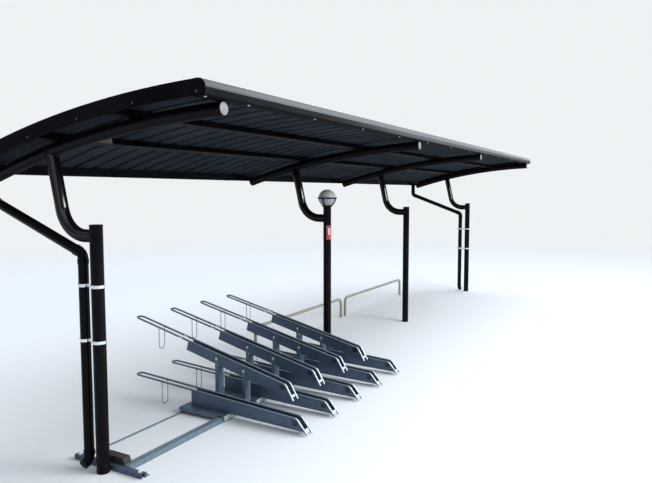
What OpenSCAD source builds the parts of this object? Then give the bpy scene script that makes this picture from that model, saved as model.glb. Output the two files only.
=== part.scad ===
// Cantilever cycle shelter: one row of round posts carries J-shaped arms,
// curved rafters and a ribbed roof. Under the first bay a two-level rack
// with sliding wheel channels stands on two floor rails.
// X runs along the row of posts, Y from the open front to the rear, Z up.
// The origin is the centre of the first post's foot.

/* [Row of posts] */
// Distance between the posts of an end bay
end_bay = 2760; // [2700:10:3600]
// Distance between the posts of the middle bay
middle_bay = 2080; // [1600:10:3000]
// Diameter of a post
post_d = 76.3; // [70:0.1:101.6]
// Height of a post above the ground
post_h = 1468; // [1440:1:1520]
// Thickness of a post's cap
cap_t = 5; // [3:1:10]

/* [Arms and rafters] */
// Diameter of an arm's tube
arm_d = 76.3; // [60.5:0.1:89.1]
// Height of the arm's level stub
arm_z = 1406; // [1390:1:1420]
// Radius of the arm's bend, to the middle of the tube
arm_bend_r = 200; // [160:5:240]
// How far behind the posts an arm meets its rafter
arm_reach = 363; // [340:1:400]
// Diameter of a rafter's tube
rafter_d = 76.3; // [60.5:0.1:89.1]
// Radius of the roof's curve, to the middle of a rafter
roof_r = 7000; // [5500:50:9000]
// How far in front of the posts the curve is highest
crown_y = 1180; // [1000:10:1400]
// Height of a rafter's middle over the posts
rafter_z = 1975; // [1950:1:2300]
// How far a rafter reaches in front of the posts
rafter_front = 935; // [800:5:1100]
// How far a rafter reaches behind the posts
rafter_rear = 895; // [750:5:1000]
// Diameter of the plug in a rafter's front end
plug_d = 67; // [50:1:70]

/* [Roof] */
// How far the roof passes the outer posts
end_overhang = 165; // [120:5:400]
// Width of a purlin
purlin_w = 56; // [40:1:75]
// Depth of a purlin
purlin_h = 40; // [30:1:60]
// How far the front purlin lies in front of the posts
front_purlin_y = 320; // [200:5:500]
// How far the middle purlin lies behind the posts
middle_purlin_y = 273; // [235:1:300]
// Distance between the roof's ribs, before it is fitted to the length
rib_pitch = 170; // [140:5:260]
// Height of a rib
rib_h = 45; // [25:1:60]
// Width of a rib at its foot
rib_foot = 44; // [36:1:60]
// Width of a rib at its top
rib_top = 28; // [18:1:34]
// Thickness of the roof sheet
sheet_t = 1.2; // [0.8:0.1:2]
// How far the sheet reaches over the gutter
sheet_lip = 45; // [20:1:70]
// Thickness of the folded edge members
fold_t = 2; // [1:0.5:3]
// How far the front member stands in front of the rafters
nose_reach = 25; // [15:1:60]
// Radius of the front member's upper edge
nose_r = 46; // [20:1:46]
// Width of the end member's flanges
flange_w = 28; // [15:1:40]
// Inner width of the gutter
gutter_w = 106; // [90:1:140]
// Height of the gutter
gutter_h = 62; // [50:1:80]

/* [Rainwater pipes] */
// Diameter of a pipe
pipe_d = 60; // [50:1:75]
// Gap between a pipe and its post
pipe_gap = 49.4; // [20:0.1:60]
// Height of the lower elbow
lower_elbow_z = 1300; // [1250:5:1310]
// Height of the upper elbow
upper_elbow_z = 1612; // [1560:1:1650]
// Height of the upper band
upper_band_z = 1105; // [900:5:1200]
// Height of the lower band
lower_band_z = 778; // [500:5:850]
// How much lower the bands of the last post sit
far_band_drop = 67; // [0:1:150]

/* [Lamp and plates] */
// Radius of the lamp's globe
globe_r = 88; // [75:1:110]
// Radius of the lamp's hood
hood_r = 91; // [86:1:120]
// Height of the lamp's hood
hood_h = 78; // [60:1:90]
// Height of the collar between post and globe
collar_h = 52; // [25:1:60]
// Height of the plate on the lamp's post
sign_h = 140; // [100:5:200]
// Height of that plate's middle above the ground
sign_z = 1268; // [900:1:1290]
// Length of the small plate on the middle purlin
label_l = 215; // [100:5:300]

/* [Wheel channels] */
// Distance between one channel and the next
channel_pitch = 200; // [180:1:240]
// Distance between the two rods of a channel
rod_gap = 62; // [55:1:75]
// Diameter of a rod
rod_d = 16; // [9:1:17]
// Slope of the low channels
low_slope = 3.6; // [0:0.1:6]
// Slope of the high channels
high_slope = 13.4; // [10:0.1:16]
// How far a low channel's bend lies in front of the posts
low_nose_y = 696; // [600:1:760]
// How far a high channel's bend lies in front of the posts
high_nose_y = 478; // [400:1:560]
// Height of the rods at a low channel's bend
low_nose_z = 110; // [100:1:130]
// Height of the rods at a high channel's bend
high_nose_z = 263; // [240:1:300]
// How far a low channel reaches behind the posts
low_rear = 800; // [650:5:805]
// How far a high channel reaches behind the posts
high_rear = 990; // [800:5:1000]
// Angle between a channel and its bent front end
nose_bend = 46; // [30:1:50]
// Length of the bent front end's straight part
nose_l = 112; // [70:1:114]
// Where the trough of a low channel ends behind the posts
low_trough_rear = 222; // [180:1:240]
// Where the trough of a high channel ends behind the posts
high_trough_rear = 422; // [350:1:500]
// Depth of a high trough at its rear end
trough_rear_h = 76; // [50:1:80]
// Depth of a high trough at its front end
trough_front_h = 92; // [80:1:100]
// How far the rods' front ends pass the trough's walls
trough_end = 30; // [8:1:45]
// Height of a low trough's floor above the ground at its front end
low_trough_front_z = 27; // [14:1:30]
// Thickness of the trough's metal
trough_t = 2; // [1.6:0.2:3]
// Diameter of the wire loop under the open rods
loop_wire_d = 6; // [5:1:8]
// Height of the wire loop
loop_h = 180; // [150:1:182]

/* [Carriages and rails] */
// How far a carriage reaches to the left of its channel's middle
carriage_left = 105; // [60:1:115]
// How far a carriage reaches to the right of its channel's middle
carriage_right = 37; // [37:1:45]
// Height of a carriage's top above the ground
carriage_z = 46; // [44:1:50]
// Thickness of a carriage's plate
carriage_t = 2.5; // [2:0.5:3]
// Diameter of a roller
roller_d = 24; // [20:1:25]
// Width of the front rail
rail_w = 46; // [40:1:52]
// Height of the front rail
rail_h = 36; // [34:1:38]
// Thickness of the front rail's metal
rail_t = 2.5; // [2:0.5:3]
// Width of the rear rail
rear_rail_w = 9; // [8:1:16]
// Height of the rear rail
rear_rail_h = 10; // [8:1:18]
// Width of the bars under the rails' ends
end_bar_w = 33; // [25:1:40]

/* [Wheel stops] */
// Diameter of a wheel stop's tube
stop_d = 34; // [27:1:34]
// Length of a wheel stop
stop_l = 1970; // [1600:10:2000]
// Height of a wheel stop
stop_h = 265; // [220:5:350]
// Radius of a wheel stop's bends
stop_bend_r = 70; // [50:5:100]
// How far behind the posts the wheel stops stand
stop_y = 840; // [840:1:880]

/* [Hidden] */

// Seat between curved pieces that are fixed to each other
seat = 0.3;
// Depth by which a cut passes the face that it opens
cut = 1;
// Length by which a straight bar laps into a bend
lap = 1.5;
// What a bend is thicker than the straight bars that lap into it
bend_swell = 0.2;
arm_swell = 1;
$fn = 64;
arc_fn = 720;
bend_fn = 96;
wire_fn = 24;

paint = "#2b2523";
sheet_paint = "#4d535c";
zinc = "#9aa3a8";
steel = "#d9dcdd";

post_x = [0, end_bay, end_bay + middle_bay, 2 * end_bay + middle_bay];
post_r = post_d / 2;
arm_r = arm_d / 2;
rafter_r = rafter_d / 2;

// The roof's curve is an arc in the YZ plane round this centre
curve_y = -crown_y;
curve_z = rafter_z - sqrt(roof_r * roof_r - crown_y * crown_y);
sheet_r = roof_r + rafter_r + purlin_h + seat;
rib_r = sheet_r + rib_h + sheet_t;
function tilt(y, r) = asin((y - curve_y) / r);
function curve_height(y, r) = curve_z + sqrt(pow(r, 2) - pow(y - curve_y, 2));

// Ends and edges of the roof
roof_x0 = -end_overhang;
roof_x1 = post_x[3] + end_overhang;
front_y = -rafter_front - nose_reach;
nose_z0 = curve_height(-rafter_front, roof_r) + rafter_r / cos(tilt(-rafter_front, roof_r)) + seat;
sheet_front = front_y + nose_r;
nose_z1 = curve_height(sheet_front, rib_r) + fold_t + seat;
nose_l_y = 70;
nose_foot_r = 12;
end_drop = 26;
end_low_r = sheet_r - end_drop;
end_step = 1.5;
end_high_r = norm([front_y + nose_l_y - curve_y, nose_z1 - end_step - curve_z]);

// The rafters end against the gutter's front wall
rafter_tilt = tilt(rafter_rear, roof_r);
gutter_y0 = rafter_rear + rafter_r * sin(rafter_tilt) + seat;
gutter_y1 = gutter_y0 + gutter_w + 2 * fold_t;
gutter_top_z = curve_height(gutter_y0 + fold_t, sheet_r) - seat;
sheet_x0 = roof_x0 + 2 * (fold_t + seat);
sheet_x1 = roof_x1 - 2 * (fold_t + seat);
gutter_z = gutter_top_z - gutter_h;
outlet_y = (gutter_y0 + gutter_y1) / 2;
sheet_rear = gutter_y0 + sheet_lip;

// The arm's upright part lies on a radius of the roof's curve
arm_lean = tilt(arm_reach, roof_r);
arm_turn = 90 - arm_lean;
arm_meet_z = curve_height(arm_reach, roof_r);
arm_corner_y = arm_reach - (arm_meet_z - arm_z) * tan(arm_lean);
arm_tangent = arm_bend_r * tan(arm_turn / 2);
arm_bend_y = arm_corner_y - arm_tangent;
arm_up_y = arm_bend_y + arm_bend_r * sin(arm_turn);
arm_up_z = arm_z + arm_bend_r * (1 - cos(arm_turn));
arm_up_l = (arm_meet_z - arm_up_z) / cos(arm_lean);

// Ribs are spread evenly, one at an equal distance inside each end
rib_margin = 90;
rib_count = round((roof_x1 - roof_x0 - 2 * rib_margin) / rib_pitch) + 1;
rib_step = (roof_x1 - roof_x0 - 2 * rib_margin) / (rib_count - 1);
near_ribs = floor(rib_count / 3);
far_ribs = rib_count - near_ribs;
function rib_x(i) = roof_x0 + rib_margin + i * rib_step;
function pan_x(i) = rib_x(i) - rib_step / 2;

pipe_r = pipe_d / 2;
pipe_y = post_r + pipe_gap + pipe_r;
pipe_wall = 2;
elbow_r = 45;
shoe_z = 84;
shoe_turn = 65;
shoe_l = 20;
band_w = 18;
band_t = 1.5;

// Lamp on the second post: collar, dish, globe, hood and guard
collar_flare = 4;
dish_r = 47;
dish_rim = 4;
dish_h = 12;
globe_z = post_h + collar_h + dish_h + sqrt(pow(globe_r, 2) - pow(dish_r, 2));

// Small plate on the middle purlin
label_x = post_x[0] + 150;
label_margin = 2;

// Rack: the last low channel's carriage stops short of the second post
post_clearance = 24.4;
last_x = end_bay - post_r - post_clearance - carriage_right;
low_count = 5;
first_x = last_x - 2 * (low_count - 1) * channel_pitch;
rod_r = rod_d / 2;
nose_bend_r = 40;
trough_w = rod_gap + trough_t;
trough_drop = 2;
trough_corner = 10;
trough_lip = 6;
open_front = 60;
open_rear = 10;
high_corner = 40;
ledge = [rod_gap, 16, 3];
ledge_back = 26;
low_loop_y = 520;
high_loop_y = 735;
rail_y0 = -131;
rail_y1 = rail_y0 + rail_w;
rail_gap = 5.5;
carriage_y0 = rail_y0 - rail_gap - carriage_t;
rear_rail_y = 266;
carriage_y1 = rear_rail_y + 18;
carriage_skirt = 26;
carriage_corner = 10;
roller_w = 12;
roller_inset = 24;
roller_x = [-carriage_left + roller_inset, carriage_right - roller_inset];
roller_side_gap = 6;
front_roller_y = rail_y0 + rail_t + roller_side_gap;
front_roller_z = rail_t + seat + roller_d / 2;
rear_roller_z = rear_rail_h + seat + roller_d / 2;
axle_d = 7;
hanger_t = 3;
hanger_w = 22;
front_hanger_gap = 10;
rear_hanger_gap = 5;
leg_depth = 28;
leg_t = 3;
leg_y = [138, -120];
leg_top = 26;
leg_face_gap = 16;
end_bar_x = post_r + seat;
end_bar_h = 32;
end_bar_t = 3;
end_bar_front = -270;
end_bar_rear = 300;
rail_x0 = end_bar_x + end_bar_w + seat;
rail_end_reach = 36.4;
rail_x1 = end_bay + post_r + rail_end_reach;
rail_hole_d = 12;
slot_lip = 3;

// Rubber block behind the front rail, with a slanted lip over the rail's edge
stop_block = [55, 218, 73];
stop_block_y = rail_y1 + seat;
stop_block_edge = 8;
stop_lip = [12, 9];
stop_gap = 85;
stop_x0 = end_bay - 50;

// Draws a YZ outline along the row, from x0 over a length
module along_row(x0, length) {
    translate([x0, 0, 0])
        rotate([90, 0, 90])
            linear_extrude(length)
                children();
}

// Sweeps a [radius, x] outline along the roof's curve between two depths
module roof_sweep(y0, y1, r) {
    a0 = tilt(y0, r);
    a1 = tilt(y1, r);
    translate([0, curve_y, curve_z])
        rotate([180, -90, 0])
            rotate([0, 0, -a1])
                rotate_extrude(angle = a1 - a0, $fn = arc_fn)
                    children();
}

// Bends a round bar in the YZ plane from angle a0 over a turn, round [x, y, z].
// A bend is a trace thicker than the straight bars that lap into its ends.
module yz_bend(centre, r, d, a0, turn, swell = bend_swell) {
    translate(centre)
        rotate([90, 0, 90])
            rotate([0, 0, a0])
                rotate_extrude(angle = turn, $fn = bend_fn)
                    translate([r, 0])
                        circle(d = d + swell);
}

// Straight round bar up the local Z axis that laps back into the bend before it
module lapped_bar(d, length) {
    translate([0, 0, -lap])
        cylinder(d = d, h = length + lap);
}

module rounded_bar(w, h, r) {
    square([w - 2 * r, h], center = true);
    square([w, h - 2 * r], center = true);
    for (sx = [-1, 1], sy = [-1, 1])
        translate([sx * (w / 2 - r), sy * (h / 2 - r)])
            circle(r);
}

module post(i) {
    color(paint)
        translate([post_x[i], 0, 0])
            cylinder(d = post_d, h = post_h);
}

module post_caps() {
    rim = 0.8;
    edge = 1.5;
    r = post_r + rim;
    color(paint)
        for (i = [0, 2, 3])
            translate([post_x[i], 0, post_h])
                rotate_extrude()
                    polygon([[0, 0], [r, 0], [r, cap_t - edge], [r - edge, cap_t], [0, cap_t]]);
}

module arm(x) {
    difference() {
        union() {
            translate([x, 0, arm_z])
                rotate([-90, 0, 0])
                    cylinder(d = arm_d, h = arm_bend_y + lap);
            yz_bend([x, arm_bend_y, arm_z + arm_bend_r], arm_bend_r, arm_d, -90, arm_turn, arm_swell);
            translate([x, arm_up_y, arm_up_z])
                rotate([-arm_lean, 0, 0])
                    lapped_bar(arm_d, arm_up_l);
        }
        translate([x, 0, 0])
            cylinder(d = post_d + 2 * seat, h = post_h + cut);
        translate([x, arm_reach, arm_meet_z])
            rotate([90 - arm_lean, 0, 0])
                cylinder(d = rafter_d + 2 * seat, h = 2 * arm_d, center = true);
    }
}

module arms() {
    color(paint)
        for (x = post_x)
            arm(x);
}

module rafters() {
    color(paint)
        for (x = post_x)
            roof_sweep(-rafter_front, rafter_rear, roof_r)
                translate([roof_r, x])
                    circle(d = rafter_d);
}

module rafter_caps() {
    t = 4;
    edge = 2;
    r = plug_d / 2;
    color("#e8e8e4")
        for (x = post_x)
            translate([x, -rafter_front, curve_height(-rafter_front, roof_r)])
                rotate([90 - tilt(-rafter_front, roof_r), 0, 0])
                    translate([0, 0, seat])
                        rotate_extrude()
                            polygon([[0, 0], [r, 0], [r, t - edge], [r - edge, t], [0, t]]);
}

// Purlin along the row at a depth y, or the notch for it when it grows
module purlin(y, x0, length, grow) {
    a = tilt(y, roof_r);
    r = roof_r + rafter_r + purlin_h / 2;
    translate([x0, curve_y + r * sin(a), curve_z + r * cos(a)])
        rotate([-a, 0, 0])
            rotate([90, 0, 90])
                linear_extrude(length)
                    rounded_bar(purlin_w + grow, purlin_h + grow, 4);
}

module purlins() {
    color(paint)
        for (y = [-front_purlin_y, middle_purlin_y])
            purlin(y, roof_x0 + fold_t + seat, roof_x1 - roof_x0 - 2 * (fold_t + seat), 0);
}

// Underside of the ribs from number i0 to i1, or the top side with rise = sheet_t
function rib_line(i0, i1, rise) = [for (i = [i0:i1]) each [
    [sheet_r + rise, rib_x(i) - rib_foot / 2],
    [sheet_r + rib_h + rise, rib_x(i) - rib_top / 2],
    [sheet_r + rib_h + rise, rib_x(i) + rib_top / 2],
    [sheet_r + rise, rib_x(i) + rib_foot / 2]]];
function reversed(list) = [for (i = [len(list) - 1:-1:0]) list[i]];

module roof_sheet(i0, i1, x0, x1) {
    under = concat([[sheet_r, x0]], rib_line(i0, i1, 0), [[sheet_r, x1]]);
    above = concat([[sheet_r + sheet_t, x0]], rib_line(i0, i1, sheet_t), [[sheet_r + sheet_t, x1]]);
    color(sheet_paint)
        roof_sweep(sheet_front, sheet_rear, sheet_r)
            polygon(concat(under, reversed(above)));
}

// Outline of the front member in the YZ plane, smaller by an inset
module nose_outline(inset, reach) {
    h = nose_z1 - nose_z0;
    upper = h - nose_r;
    translate([front_y, nose_z0]) {
        intersection() {
            translate([nose_r, upper])
                circle(nose_r - inset, $fn = bend_fn);
            translate([0, upper])
                square(nose_r);
        }
        intersection() {
            translate([nose_foot_r, nose_foot_r])
                circle(nose_foot_r - inset);
            square(nose_foot_r);
        }
        translate([inset, nose_foot_r])
            square([reach - inset, upper - nose_foot_r]);
        translate([nose_r, upper])
            square([reach - nose_r, nose_r - inset]);
        translate([nose_foot_r, inset])
            square([reach - nose_foot_r, nose_foot_r - inset]);
    }
}

module front_fascia() {
    color("#3a3431")
        along_row(roof_x0 + fold_t + seat, roof_x1 - roof_x0 - 2 * (fold_t + seat))
            difference() {
                nose_outline(0, nose_l_y);
                nose_outline(fold_t, nose_l_y + cut);
            }
}

// Closed end of the roof: a web along the curve with the front member's round front,
// and two flanges that start behind that member
module end_fascia() {
    web = end_high_r - end_low_r;
    flange_y = front_y + nose_l_y + cut;
    difference() {
        union() {
            along_row(seat, fold_t - 2 * seat)
                nose_outline(0, nose_l_y);
            roof_sweep(front_y + nose_l_y - 4 * cut, gutter_y1, end_high_r)
                translate([end_low_r, 0])
                    square([web, fold_t]);
            roof_sweep(flange_y, gutter_y1, end_high_r)
                translate([end_high_r - fold_t, fold_t / 2])
                    square([fold_t, fold_t / 2 + flange_w]);
            roof_sweep(flange_y, gutter_y0 - fold_t, end_high_r)
                translate([end_low_r, fold_t / 2])
                    square([fold_t, fold_t / 2 + flange_w]);
        }
        for (y = [-front_purlin_y, middle_purlin_y])
            purlin(y, fold_t + seat / 2, 2 * flange_w, 2 * seat);
    }
}

module end_fascias() {
    color(paint) {
        translate([roof_x0, 0, 0])
            end_fascia();
        translate([roof_x1, 0, 0])
            mirror([1, 0, 0])
                end_fascia();
    }
}

module rear_gutter() {
    x0 = roof_x0 + fold_t + seat;
    length = roof_x1 - roof_x0 - 2 * (fold_t + seat);
    inner_w = gutter_y1 - gutter_y0 - 2 * fold_t;
    color(paint)
        difference() {
            translate([x0, gutter_y0, gutter_z])
                cube([length, gutter_y1 - gutter_y0, gutter_h]);
            translate([x0 + fold_t, gutter_y0 + fold_t, gutter_z + fold_t])
                cube([length - 2 * fold_t, inner_w, gutter_h]);
            for (x = [post_x[0], post_x[3]])
                translate([x, outlet_y, gutter_z - cut])
                    cylinder(d = pipe_d - 2 * pipe_wall, h = fold_t + 2 * cut);
        }
}

// Pipe of two elbows from the gutter's outlet down to a shoe that turns to -X
module downpipe() {
    run = outlet_y - pipe_y;
    rise = upper_elbow_z - lower_elbow_z;
    slant = atan(rise / run);
    turn = 90 - slant;
    tangent = elbow_r * tan(turn / 2);
    slant_l = sqrt(run * run + rise * rise) - 2 * tangent;
    translate([0, outlet_y, upper_elbow_z + tangent])
        lapped_bar(pipe_d, gutter_z - seat - upper_elbow_z - tangent);
    yz_bend([0, outlet_y - elbow_r, upper_elbow_z + tangent], elbow_r, pipe_d, -turn, turn);
    translate([0, outlet_y - tangent * cos(slant), upper_elbow_z - tangent * sin(slant)])
        rotate([90 + slant, 0, 0])
            lapped_bar(pipe_d, slant_l + lap);
    yz_bend([0, pipe_y + elbow_r, lower_elbow_z - tangent], elbow_r, pipe_d, 180 - turn, turn);
    translate([0, pipe_y, shoe_z])
        lapped_bar(pipe_d, lower_elbow_z - tangent - shoe_z + lap);
    translate([-elbow_r, pipe_y, shoe_z])
        rotate([90, 0, 0])
            rotate([0, 0, -shoe_turn])
                rotate_extrude(angle = shoe_turn, $fn = bend_fn)
                    translate([elbow_r, 0])
                        circle(d = pipe_d + bend_swell);
    translate([-elbow_r * (1 - cos(shoe_turn)), pipe_y, shoe_z - elbow_r * sin(shoe_turn)])
        rotate([0, 180 + shoe_turn, 0])
            lapped_bar(pipe_d, shoe_l);
}

module downpipes() {
    color(paint) {
        translate([post_x[0], 0, 0])
            downpipe();
        translate([post_x[3], 0, 0])
            mirror([1, 0, 0])
                downpipe();
    }
}

// Two rings joined by a strap, which hold a pipe to its post
module band_pair(x, z) {
    translate([x, 0, z])
        difference() {
            union() {
                cylinder(r = post_r + seat + band_t, h = band_w);
                translate([0, pipe_y, 0])
                    cylinder(r = pipe_r + seat + band_t, h = band_w);
                translate([-band_t, 0, 0])
                    cube([2 * band_t, pipe_y, band_w]);
            }
            translate([0, 0, -cut])
                cylinder(r = post_r + seat, h = band_w + 2 * cut);
            translate([0, pipe_y, -cut])
                cylinder(r = pipe_r + seat, h = band_w + 2 * cut);
        }
}

module pipe_bands() {
    color(steel)
        for (z = [upper_band_z, lower_band_z]) {
            band_pair(post_x[0], z);
            band_pair(post_x[3], z - far_band_drop);
        }
}

module lamp_base() {
    dish_low = collar_h - collar_flare;
    dish_top = collar_h + dish_h;
    color(paint)
        translate([post_x[1], 0, post_h])
            rotate_extrude()
                polygon([[0, 0], [post_r, 0], [post_r, dish_low], [dish_r, collar_h],
                    [dish_r + dish_rim, collar_h], [dish_r + dish_rim, dish_top], [0, dish_top]]);
}

module lamp_globe() {
    base_z = post_h + collar_h + dish_h + seat;
    color("#f2f2ee")
        intersection() {
            translate([post_x[1], 0, globe_z])
                sphere(r = globe_r);
            translate([post_x[1], 0, base_z])
                cylinder(r = globe_r + cut, h = globe_z - seat - base_z);
        }
}

module lamp_hood() {
    t = 3;
    brim_w = 7;
    brim_t = 4;
    crown_r = (pow(hood_r - brim_w, 2) + pow(hood_h, 2)) / (2 * hood_h);
    color("#f4f4f2")
        translate([post_x[1], 0, globe_z])
            difference() {
                union() {
                    translate([0, 0, hood_h - crown_r])
                        sphere(r = crown_r);
                    cylinder(r = hood_r, h = brim_t);
                }
                translate([0, 0, hood_h - crown_r])
                    sphere(r = crown_r - t);
                translate([0, 0, -2 * crown_r])
                    cylinder(r = 2 * crown_r, h = 2 * crown_r);
            }
}

module lamp_guard() {
    ring_h = 11;
    strap_w = 12;
    strap_t = 3;
    strap_angles = [1:90:271];
    strap_end = 4;
    outer = hood_r + strap_t;
    low = globe_z - post_h - collar_h - strap_end;
    color(paint)
        translate([post_x[1], 0, globe_z])
            difference() {
                union() {
                    rotate_extrude()
                        translate([hood_r + seat, -ring_h])
                            square([strap_t, ring_h]);
                    for (a = strap_angles)
                        rotate([90, 0, a])
                            translate([0, 0, -strap_w / 2])
                                linear_extrude(strap_w)
                                    intersection() {
                                        difference() {
                                            circle(outer + seat);
                                            circle(outer + seat - strap_t);
                                        }
                                        translate([dish_r, -low])
                                            square([outer, low]);
                                    }
                }
                translate([0, 0, post_h + collar_h - globe_z])
                    cylinder(r = dish_r + dish_rim + seat, h = dish_h);
            }
}

module sign_plate() {
    t = 1.5;
    wrap = 150;
    color("#b3222f")
        translate([post_x[1], 0, sign_z - sign_h / 2])
            rotate([0, 0, -90 - wrap / 2])
                rotate_extrude(angle = wrap, $fn = bend_fn)
                    translate([post_r + seat, 0])
                        square([t, sign_h]);
}

module label_plate() {
    a = tilt(middle_purlin_y, roof_r);
    t = 2;
    r = roof_r + rafter_r + purlin_h / 2;
    color("#b9a892")
        translate([label_x, curve_y + r * sin(a), curve_z + r * cos(a)])
            rotate([-a, 0, 0])
                translate([0, -purlin_w / 2 - seat - t, -purlin_h / 2 + label_margin])
                    cube([label_l, t, purlin_h - 2 * label_margin]);
}

module rail_hole(x) {
    translate([x, (rail_y0 + rail_y1) / 2, -cut])
        cylinder(d = rail_hole_d, h = rail_h + 2 * cut);
}

// Floor rail with closed round ends and a slot along its rear side
module front_rail() {
    mid_y = (rail_y0 + rail_y1) / 2;
    end_x = [rail_x0 + rail_w / 2, rail_x1 - rail_w / 2];
    slot_x0 = end_x[0] + rail_w / 2;
    slot_l = end_x[1] - end_x[0] - rail_w;
    difference() {
        union() {
            translate([end_x[0], rail_y0, 0])
                cube([end_x[1] - end_x[0], rail_w, rail_h]);
            for (x = end_x)
                translate([x, mid_y, 0])
                    cylinder(d = rail_w, h = rail_h);
        }
        translate([slot_x0, rail_y0 + rail_t, rail_t])
            cube([slot_l, rail_w - 2 * rail_t, rail_h - 2 * rail_t]);
        translate([slot_x0, rail_y1 - rail_t - cut, rail_t + slot_lip])
            cube([slot_l, rail_t + 2 * cut, rail_h - 2 * rail_t - 2 * slot_lip]);
        for (x = end_x)
            rail_hole(x);
    }
}

module rear_rail() {
    translate([rail_x0, rear_rail_y - rear_rail_w / 2, 0])
        cube([rail_x1 - rail_x0, rear_rail_w, rear_rail_h]);
}

module floor_rails() {
    color(zinc) {
        front_rail();
        rear_rail();
    }
}

// Channel bar, open below, that lies across under the rails' ends
module end_bar(x) {
    length = end_bar_rear - end_bar_front;
    inner_w = end_bar_w - 2 * end_bar_t;
    translate([x, end_bar_front, 0])
        difference() {
            cube([end_bar_w, length, end_bar_h]);
            translate([end_bar_t, -cut, -cut])
                cube([inner_w, length + 2 * cut, end_bar_h - end_bar_t + cut]);
        }
}

module rail_end_bars() {
    color(zinc) {
        end_bar(end_bar_x);
        end_bar(rail_x1 + seat);
    }
}

module end_stop() {
    rear = stop_block[1];
    top = stop_block[2];
    under = rail_h + seat;
    color("#4a3a33")
        translate([0, stop_block_y, 0])
            along_row(rail_x0, stop_block[0])
                polygon([[0, 0], [rear, 0], [rear, top - stop_block_edge],
                    [rear - stop_block_edge, top], [0, top],
                    [-stop_lip[0], under + stop_lip[1]], [-stop_lip[0], under], [0, under]]);
}

function low_x(i) = first_x + 2 * (i - 1) * channel_pitch;
function high_x(i) = low_x(i) + channel_pitch;

// Sloping pair of rods with a closed rear end and a bent front end.
// The local origin is the start of the bend, Y runs up the slope.
module rods(length) {
    nose_y = -nose_bend_r * sin(nose_bend);
    nose_z = -nose_bend_r * (1 - cos(nose_bend));
    for (s = [-1, 1]) {
        translate([s * rod_gap / 2, 0, 0])
            rotate([-90, 0, 0])
                lapped_bar(rod_d, length);
        yz_bend([s * rod_gap / 2, 0, -nose_bend_r], nose_bend_r, rod_d, 90, nose_bend);
        translate([s * rod_gap / 2, nose_y, nose_z])
            rotate([90 + nose_bend, 0, 0])
                lapped_bar(rod_d, nose_l);
    }
    translate([0, length, 0])
        rotate_extrude(angle = 180)
            translate([rod_gap / 2, 0])
                circle(d = rod_d);
    translate([0, nose_y, nose_z])
        rotate([nose_bend, 0, 0])
            translate([-ledge[0] / 2, ledge_back - nose_l, -ledge[2] / 2])
                cube(ledge);
}

// Wire loop hanging from the rods at the local origin
module wire_loop() {
    drop = loop_h - rod_gap / 2;
    for (s = [-1, 1])
        translate([s * rod_gap / 2, 0, -drop])
            cylinder(d = loop_wire_d, h = drop, $fn = wire_fn);
    translate([0, 0, -drop])
        rotate([90, 0, 0])
            rotate([0, 0, 180])
                rotate_extrude(angle = 180)
                    translate([rod_gap / 2, 0])
                        circle(d = loop_wire_d, $fn = wire_fn);
}

// Folded trough: its side outline is drawn in the YZ plane and hollowed from above
module trough(outline, inner) {
    difference() {
        translate([-trough_w / 2, 0, 0])
            rotate([90, 0, 90])
                linear_extrude(trough_w)
                    polygon(outline);
        translate([-trough_w / 2 + trough_t, 0, 0])
            rotate([90, 0, 90])
                linear_extrude(trough_w - 2 * trough_t)
                    polygon(inner);
    }
}

// Height of the rods' middle at a depth y
function low_rod(y) = low_nose_z + (y + low_nose_y) * tan(low_slope);
function high_rod(y) = high_nose_z + (y + high_nose_y) * tan(high_slope);

// Turns a [y, z] point round the start of the bend and moves it to its place
function placed(p, slope, y, z) = [
    y + p[0] * cos(slope) - p[1] * sin(slope),
    z + p[0] * sin(slope) + p[1] * cos(slope)];
function on_bend(a) = [-nose_bend_r * sin(a), -nose_bend_r * (1 - cos(a))];
function on_nose(l) = on_bend(nose_bend) - l * [cos(nose_bend), sin(nose_bend)];
// Upper edge of a trough's walls, a little under the middle of the rods
function trough_edge(slope, y, z, back, l) = [for (p = [
    [back, 0], [0, 0], on_bend(nose_bend / 2), on_bend(nose_bend), on_nose(l)])
    placed(p - [0, trough_drop], slope, y, z)];

module low_channel(i) {
    rest_y = carriage_y0 - seat;
    back = (low_trough_rear + low_nose_y) / cos(low_slope);
    edge = trough_edge(low_slope, -low_nose_y, low_nose_z, back, nose_l - trough_end);
    tip = edge[len(edge) - 1];
    corner_y = tip[0] + trough_corner;
    front = tip[0] - open_front;
    rear = edge[0][0] + open_rear;
    above = 2 * low_nose_z;
    outline = concat(edge, [[corner_y, low_trough_front_z], [rest_y, carriage_z], [edge[0][0], carriage_z]]);
    inner = [[front, low_trough_front_z + trough_t], [corner_y, low_trough_front_z + trough_t],
        [rest_y, carriage_z + trough_t], [rear, carriage_z + trough_t], [rear, above], [front, above]];
    length = (low_rear + low_nose_y - rod_gap / 2) / cos(low_slope);
    color(zinc)
        translate([low_x(i), 0, 0]) {
            translate([0, -low_nose_y, low_nose_z])
                rotate([low_slope, 0, 0])
                    rods(length);
            translate([0, low_loop_y, low_rod(low_loop_y)])
                wire_loop();
            trough(outline, inner);
        }
}

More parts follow.
